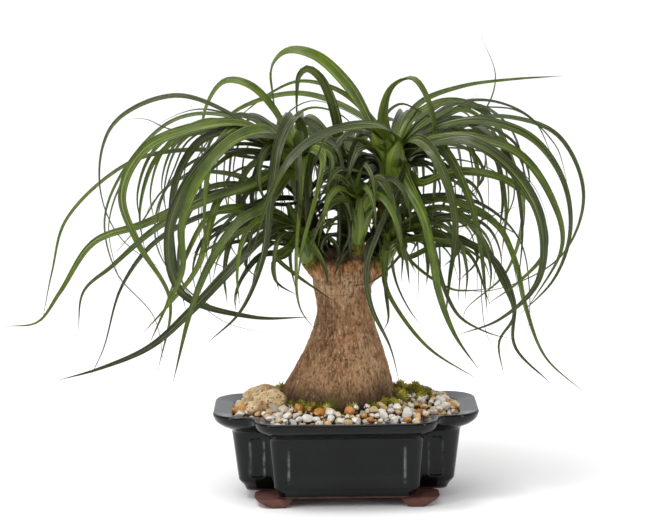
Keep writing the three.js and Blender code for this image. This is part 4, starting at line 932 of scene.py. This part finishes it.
# Broad, pale leaf bases that clasp a bulb in front: width, tone and the points on their way
CLASPS = {
    "left_head": """
15 0.6 -34 -9 234 -32 -13 255 -31 -15 274 -29 -16 289,
6 1.4 -36 -11 256 -40 -15 271 -43 -17 284""",
    "right_head": """
19 1.1 39 -6 231 39 -15 245 40 -19 257 43 -20 274,
9 1.4 36 -8 250 30 -11 264 22 -12 280""",
    "left_low_head": """
8 0.6 -31 -15 191 -36 -19 210 -42 -22 229""",
    "front_head": """
7 0.65 11 -30 198 9 -33 213 5 -36 229,
7 0.5 11 -30 198 16 -33 213 23 -36 227,
7 0.95 11 -31 197 12 -35 214 14 -38 231""",
}
CLASP_FOLD, CLASP_START, CLASP_END = 1.9, 0.012, 0.9
# Each head's rule for further leaves, and then for the narrow leaves that crowd along its shoot:
# count, and the limits of the sector in degrees from +X, the reach, the rise and the fall
RULES = {
    "left_head": "13 85 215 85 125 22 42 30 90, 14 60 250 45 92 8 34 8 48, 12 -110 60 32 62 8 30 8 42",
    "right_head": "14 -35 95 85 125 20 40 30 90, 14 -52 120 45 92 8 34 8 48, 10 120 232 32 62 8 30 8 42",
    "left_low_head": "7 100 235 60 95 12 24 30 60, 10 80 250 30 72 8 26 8 36, 6 -60 60 20 40 8 22 0 20",
    "right_low_head": "7 -55 80 60 95 12 24 30 60, 10 -70 100 30 72 8 26 8 36, 6 120 240 20 40 8 22 0 20",
    "front_head": "5 195 345 35 50 16 26 5 25, 10 -20 200 16 36 8 24 0 14",
    "back_head": "12 35 145 85 125 25 42 20 60, 22 0 360 40 90 10 36 8 45",
}
FILL_WIDTH, FILL_ROLL, FILL_SWEEP = (6, 9), (20, 50), 24
# How narrow the crowd is, how far its pale feet are hidden, and its brightest tones by rule
CROWD_WIDTH, CROWD_START = 0.74, 0.03
# The low tones are painted shade for leaves deep in the crown: the side heads' inner crowd and the crowds of
# the front and back heads
SIDE_TONES_WITH_SHADE, CROWD_TONES_WITH_SHADE = (0.8, 0.25), {"front_head": (0.3,), "back_head": (0.25,)}
# The ways that leaves arch, as shares of the reach, the rise and the fall
CURL = ((0.3, 0.75, 0), (0.62, 1, 0), (0.92, 0.8, 0.1), (1.04, 0.35, 0.45), (0.84, 0, 0.95))
SPREAD = ((0.3, 0.6, 0), (0.6, 0.95, 0), (0.85, 0.95, 0.06), (1.08, 0.65, 0.3), (1.3, 0.3, 0.62))
ARCH = ((0.3, 0.75, 0), (0.62, 1, 0), (0.88, 0.7, 0.12), (1, 0.2, 0.5), (0.97, 0, 1))
# The sideways bends that the source tries on a leaf, so that it stays clear of the others
BENDS = (0, 3, -3, 6, -6, 9, -9, 12, -12, 16, -16, 20, -20, 25, -25)
LEAF_SEED, TONE_SEED = 5, 17
LEAF_STEP, LEAST_STEPS, LEAST_WIDTH = 4, 16, 0.25
# A blade is folded further at its foot, and fades from its foot's fold over this length in metres
FOOT_FOLD, FOOT_LENGTH = 1.5, 0.02
# The older leaves' sheaths: how many, how far each is turned on, and their widths and starts on the
# upper and the low heads
SHEATHS, SHEATH_TURN, SHEATH_FOLD = 12, 2.4, 1.8
SHEATH_WIDTHS, SHEATH_STARTS = (1.35, 0.85), (0, 0.028)
HEART_RUN = 0.026


def read_leaves(table):
    """Two values and the points of each leaf in a table."""
    return [(first, second, np.reshape(way, (-1, 3)).tolist()) for first, second, *way in rows(table)]


def between(limits, part):
    return limits[0] + (limits[1] - limits[0]) * part


def filling_leaf(rule, crown, index, draw, arch=ARCH):
    """A further leaf of one head, from the rule's own draws."""
    count, *limits = rule
    sector, reaches, rises, falls = zip(limits[::2], limits[1::2])
    angle = between(sector, (index + 0.5 + 0.7 * (next(draw) - 0.5)) / count)
    reach, rise, fall = (between(limits, next(draw)) for limits in (reaches, rises, falls))
    sweep = FILL_SWEEP * (next(draw) - 0.5)
    width, roll = between(FILL_WIDTH, next(draw)), between(FILL_ROLL, next(draw))
    points = []
    for out, up, down in arch:
        heading = math.radians(angle + sweep * out)
        points.append((crown[0] + reach * out * math.cos(heading), crown[1] + reach * out * math.sin(heading),
                       crown[2] + rise * up - fall * down))
    return width, roll, points


def unit(vector):
    return vector / max(np.linalg.norm(vector), 1e-9)


def bend(points, shift):
    return [np.array([x, y + shift * min(1, (i + 1) / 3), z]) for i, (x, y, z) in enumerate(points)]


def bend_in_frame(corners, points):
    """The bend that the leaf's solid in the frame has, found by its tip; None where it was left out."""
    for shift in BENDS:
        if np.linalg.norm(corners - to_frame(bend(points, shift)[-1]), axis=1).min() < 0.4 * MM:
            return shift
    return None


def leaf_line(crown, points, shift):
    """The line along a leaf, from inside the bulb."""
    crown, first = np.array(crown, float), np.array(points[0], float)
    away = unit((first - crown) * (1, 1, 0))
    rise = min(max(0.12 * (first[2] - crown[2]), -6), 6)
    root, neck = crown + 1.5 * away + (0, 0, rise - 9), crown + 5 * away + (0, 0, rise + 3)
    return smooth_line([root, neck] + bend(points, shift), 14)


def blade_stations(line, width, roll, outward, wave, breadth, start=0.0, end=1.0):
    """Centres along the line, with the upward normal, width, part of the way and length so far."""
    run = np.concatenate([[0], np.cumsum(np.linalg.norm(np.diff(line, axis=0), axis=1))])
    steps = max(LEAST_STEPS, round(run[-1] / LEAF_STEP))
    even = np.linspace(0, run[-1], steps + 1)
    centres = np.stack([np.interp(even, run, line[:, axis]) for axis in range(3)], 1)
    across = unit(np.array([outward[1], -outward[0], 0.0]))
    side = 1 if outward[0] > 0 else -1
    stations = []
    for step, centre in enumerate(centres):
        part = step / steps
        tangent = unit(centres[min(step + 1, steps)] - centres[max(step - 1, 0)])
        across = unit(across - tangent * across.dot(tangent))
        ease = min(part / 0.4, 1)
        angle = side * math.radians(roll) * ease * ease * (3 - 2 * ease)
        angle += 0.2 * math.sin(TURN * (1.6 * part + wave)) * part
        flat = across * math.cos(angle) + np.cross(tangent, across) * math.sin(angle)
        stations.append((centre, np.cross(flat, tangent), max(LEAST_WIDTH, width * breadth(part, even[step])),
                         end * part, even[step] * MM + start))
    return stations


def leaf_breadth(part, run):
    """A leaf clasps the bulb with a wide base, keeps its width, and narrows to its tip."""
    clasp = 0.9 * math.exp(-(run / 13) ** 2)
    return min(1, 0.2 + run / 9) * min(1, 0.6 + 2.5 * part) * (1 + clasp) * (1 - part ** 1.7) ** 0.85


def crowd_breadth(part, run):
    """A leaf in the crowd keeps its width nearly to its tip."""
    return min(1, 0.3 + run / 9) * min(1, 0.6 + 2.5 * part) * (1 - part ** 3) ** 0.85


def sheath_breadth(part, run):
    return min(1, 0.12 + 2.2 * part) * (1 - part ** 2.4) ** 0.9


def clasp_breadth(part, run):
    return math.sin(math.pi * min(1, 0.06 + 0.94 * part) ** 1.2) ** 0.75


def leaf_stations(base, points, shift, width, roll, breadth=leaf_breadth, start=0.0):
    """The stations of a leaf that grows from a base, with a wave of its own."""
    outward = np.subtract(points[1], base)
    return blade_stations(leaf_line(base, points, shift), width, roll, outward, next(toss), breadth, start)


def string_blades(blades):
    """Points, their marks and a string of edges for each blade of (stations, fold, tone)."""
    points, edges, marks = [], [], []
    for stations, fold, tone in blades:
        edges += [(len(points) + i, len(points) + i + 1) for i in range(len(stations) - 1)]
        for centre, up, width, part, run in stations:
            points.append(centre)
            foot_fold = FOOT_FOLD * math.exp(-(run / FOOT_LENGTH) ** 2)
            marks.append((up, width * MM, fold + foot_fold, part, run, tone))
    names = ("blade_up", "blade_width", "blade_fold", "blade_part", "blade_run", "blade_tone")
    return points, dict(zip(names, zip(*marks))), edges


leaf_finish, tree, here = new_finish("leaf", 0.22, 0.35)
part, run, tone, across = (value_of(n) for n in ("blade_part", "blade_run", "blade_tone", "across"))
mottle = grain(here, 70, 4)
rib_place = put("ShaderNodeCombineXYZ", [across * 11.0, run * 9.0, tone * 40.0])
ribs = grain(rib_place, 1.0, 3, 0.65)
middle = span(calc("ABSOLUTE", across), 0.0, 0.09, 0.35, 0)
young = span(run + mottle * 0.02, 0.016, 0.062, 0.85, 0)
leaf_colour = coats(
    shades(tone * 0.6 + mottle * 0.55, {
        0.18: "303428", 0.3: "323a1c", 0.42: "374511", 0.58: "455612", 0.72: "566a15", 0.86: "6b821c",
        1.0: "889e2c"}),
    (span(ribs, 0.4, 0.62, 0.5, 0), "22281a"),
    # Pale streaks along the ribs and a pale midline: partly the leaf's paler veins, partly painted highlight
    # streaks
    (span(ribs, 0.52, 0.7, 0, 0.5), "a3b06c"),
    (middle * 0.6, "83933a"),
    (young * 0.8, "879d40"),
    (span(run, 0.004, 0.02, 0.6, 0) * 0.6, "a2ab58"),
    (span(part + tone * 0.06, 0.965, 1.02, 0, 0.9), "7d5a2c"),
    (span(cells(here, 260), 0.05, 0.1, 0.6, 0) * span(tone, 0.55, 0.8), "6b5a2a"))
dress(leaf_colour, ribs, 0.0009, 0.9, {
    "Roughness": span(mottle, 0.3, 0.7, 0.13, 0.25), "Subsurface Weight": 0.05,
    "Subsurface Radius": (0.001, 0.002, 0.0005)})

# One tree makes every blade: a lens section drawn along the leaf's line, its edges folded up
tree, given = new_tree("leaf_blades", {"Thickness": 0.06, "Channel": 0.22, "Leaf": leaf_finish})
section = put("GeometryNodeCurvePrimitiveCircle", {"Resolution": 12, "Radius": 0.5})
place = put("GeometryNodeInputPosition")
flat = put("ShaderNodeCombineXYZ", [component(place, 0) * given["Thickness"], component(place, 1)])
section = put("GeometryNodeSetPosition", {"Geometry": section, "Position": flat})
section = put("GeometryNodeStoreNamedAttribute", {
    "Geometry": section, "Name": "across", "Value": component(place, 1)}, data_type="FLOAT", domain="POINT")
up, width = named("blade_up", "FLOAT_VECTOR"), named("blade_width")
line = put("GeometryNodeMeshToCurve", [given["Geometry"]])
line = put("GeometryNodeSetCurveNormal", {"Curve": line, "Normal": up}, mode="FREE")
blades = put("GeometryNodeCurveToMesh", {
    "Curve": line, "Profile Curve": section, "Scale": width, "Fill Caps": True})
edge = calc("POWER", calc("ABSOLUTE", named("across")) * 2.0, 2.0)
lift = edge * given["Channel"] * named("blade_fold") * width
fold = put("ShaderNodeVectorMath", {0: up, "Scale": lift}, operation="SCALE")
folded = put("GeometryNodeSetPosition", {"Geometry": blades, "Offset": fold})
end_tree(put("GeometryNodeSetShadeSmooth", [folded]), given["Leaf"])

draw, toss = draw_from(LEAF_SEED), draw_from(TONE_SEED)
for node, (*shoot, (*crown, bulb)) in HEADS.items():
    corners = np.array([v.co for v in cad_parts[node].data.vertices])
    fill_rule, *crowd_rules = rows(RULES[node])
    fill = [filling_leaf(fill_rule, crown, index, draw) for index in range(int(fill_rule[0]))]
    blades = []
    for width, roll, points in read_leaves(LEAVES[node]) + fill:
        shift = bend_in_frame(corners, points)
        if shift is not None:
            stations = leaf_stations(crown, points, shift, width, roll)
            blades.append((stations, 1, min(1, 0.85 * next(toss) + 0.03 * max(0, width - 8))))
    for width, roll, points in read_leaves(THIN_LEAVES.get(node, "")):
        blades.append((leaf_stations(crown, points, 0, width, roll), 1, next(toss)))

    stem = smooth_line([s[:3] for s in shoot] + [crown], 8)
    # Each crowd's tones, kept low where the crowd is painted in shade
    for rule, tone_cap_with_shade in zip(crowd_rules, CROWD_TONES_WITH_SHADE.get(node, SIDE_TONES_WITH_SHADE)):
        for index in range(int(rule[0])):
            base = stem[-1 - int(next(toss) ** 1.5 * 0.6 * len(stem))]
            width, roll, points = filling_leaf(rule, base, index, toss, (SPREAD, CURL, ARCH, CURL)[index % 4])
            stations = leaf_stations(base, points, 0, CROWD_WIDTH * width, roll, crowd_breadth, CROWD_START)
            blades.append((stations, 1, tone_cap_with_shade * next(toss)))

    for width, pale, points in read_leaves(CLASPS.get(node, "")):
        blades.append((blade_stations(smooth_line(points, 12), width, 0, (0, -1, 0), 0, clasp_breadth,
                                      CLASP_START, CLASP_END), CLASP_FOLD, pale))

    # The bulb, and the sheaths of older leaves that wrap it, wider towards the crown
    seat, crown, low = np.array(shoot[-1][:3], float), np.array(crown, float), "low" in node
    height, axis = np.linalg.norm(crown - seat), unit(crown - seat)
    aside = unit(np.cross(axis, (0, 1, 0)))
    ahead = np.cross(axis, aside)
    for index in range(SHEATHS):
        angle = index * SHEATH_TURN + next(toss)
        spoke = aside * math.cos(angle) + ahead * math.sin(angle)
        reach = 0.45 + 0.5 * index / SHEATHS
        start = -0.15 * (1 - index / SHEATHS)
        way = [seat + axis * up * height + spoke * out * radius for up, out, radius in (
            (start, 0.4, shoot[-1][3]), (start + 0.45, 1.0, bulb), (start + 0.9, 1.05, bulb),
            (start + 1.2, 1.1 + 0.6 * reach, bulb), (start + 1.4 + 0.3 * reach, 1.3 + 2.0 * reach, bulb),
            (start + 1.5 + 0.2 * reach, 2 + 3.5 * reach, bulb))]
        stations = blade_stations(smooth_line(way, 12), SHEATH_WIDTHS[low] * bulb, 0, spoke, 0,
                                  sheath_breadth, SHEATH_STARTS[low])
        blades.append((stations, SHEATH_FOLD, 0.35 + 0.55 * next(toss)))
    settle(make_by_tree(node + "_leaves", *string_blades(blades)), node)
    way = [seat - axis * 2, seat + axis * 3] + [seat + (crown - seat) * up for up in (0.4, 0.85, 1.3)]
    sizes = [0.97 * shoot[-1][3], 0.95 * shoot[-1][3], 0.85 * bulb, 0.7 * bulb, 0.25 * bulb]
    fine = smooth_line([(*p, r) for p, r in zip(way, sizes)], 8)
    heart = new_piece(node + "_heart", *loft(tube_rings(fine, 32)), leaf_finish)
    mark(heart.data, "blade_run", np.full(len(heart.data.vertices), HEART_RUN))
    settle(heart, node)

# THE FLOOR, LIGHT AND CAMERA
# A plain pale floor and soft studio light from above and from the left, seen by a long lens a
# little above the rim of the pot.

FLOOR_REACH = 40
# The point that the camera looks at in millimetres, and how far off, pitched and tilted it is
LOOKED_AT = (-14.5, 0, 179.5)
CAMERA_DISTANCE, CAMERA_PITCH, CAMERA_TILT, CAMERA_LENS = 1.8, 8.5, 0.7, 130.66
SUN_POWER, SUN_WIDTH = 1.4, 45
# Name, power, size and place of each softbox, from the point that the camera looks at
SOFTBOXES = (
    ("left_strip", 5.5, (0.14, 1.0), (-1.1, -0.8, 0.4)), ("right_strip", 4, (0.16, 1.0), (1.1, -0.8, 0.35)),
    ("top_softbox", 5, (0.35, 0.3), (-0.5, -0.3, 1.1)))

floor_finish, tree, here = new_finish("pale_floor", 0.9, 0.1)
dress(shades(grain(here, 3, 2), {0.3: "f9f9f9", 0.7: "fbfbfb"}))
corners = [(x * FLOOR_REACH, y * FLOOR_REACH, 0) for x, y in ((-1, -1), (1, -1), (1, 1), (-1, 1))]
new_piece("floor", corners, [(0, 1, 2, 3)], floor_finish)

# The studio is white behind the plant and dimmer on the camera's side
world = bpy.data.worlds.new("studio")
world.use_nodes = True
tree = world.node_tree
heading = put("ShaderNodeTexCoord", output="Generated")
back, height = component(heading, 1), component(heading, 2)
studio = span(back, -0.4, 0.5, 0.24, 0.92) * span(height, 0.1, 0.7, 0.76, 1.35)
studio = calc("MAXIMUM", studio, span(height, 0.022, 0.055, 0.92, 0))
feed(tree.nodes["Background"].inputs["Strength"], studio)
feed(tree.nodes["Background"].inputs["Color"], (1, 1, 1, 1))
bpy.context.scene.world = world


def aim(name, light, place, target):
    thing = new_object(name, light)
    thing.location = place
    thing.rotation_euler = (Vector(target) - Vector(place)).to_track_quat("-Z", "Y").to_euler()


middle = Vector(to_frame(LOOKED_AT))
key = bpy.data.lights.new("key", "SUN")
key.energy, key.angle = SUN_POWER, math.radians(SUN_WIDTH)
aim("key", key, middle + Vector((-0.5, -0.7, 2.4)), middle)
for name, power, size, place in SOFTBOXES:
    softbox = bpy.data.lights.new(name, "AREA")
    softbox.energy, softbox.shape, softbox.size, softbox.size_y = power, "RECTANGLE", *size
    aim(name, softbox, middle + Vector(place), middle)

pitch, tilt = math.radians(CAMERA_PITCH), math.radians(CAMERA_TILT)
ahead = Vector((0, math.cos(pitch), -math.sin(pitch)))
level_up = Vector((0, math.sin(pitch), math.cos(pitch)))
right = Vector((1, 0, 0)) * math.cos(tilt) - level_up * math.sin(tilt)
up = Vector((1, 0, 0)) * math.sin(tilt) + level_up * math.cos(tilt)
lens = bpy.data.cameras.new("camera")
lens.lens, lens.sensor_width = CAMERA_LENS, 36
camera = new_object("camera", lens)
camera.matrix_world = Matrix.Translation(middle - ahead * CAMERA_DISTANCE) @ Matrix((
    (right.x, up.x, -ahead.x, 0), (right.y, up.y, -ahead.y, 0), (right.z, up.z, -ahead.z, 0), (0, 0, 0, 1)))
bpy.context.scene.camera = camera
bpy.context.scene.view_settings.view_transform = "Standard"
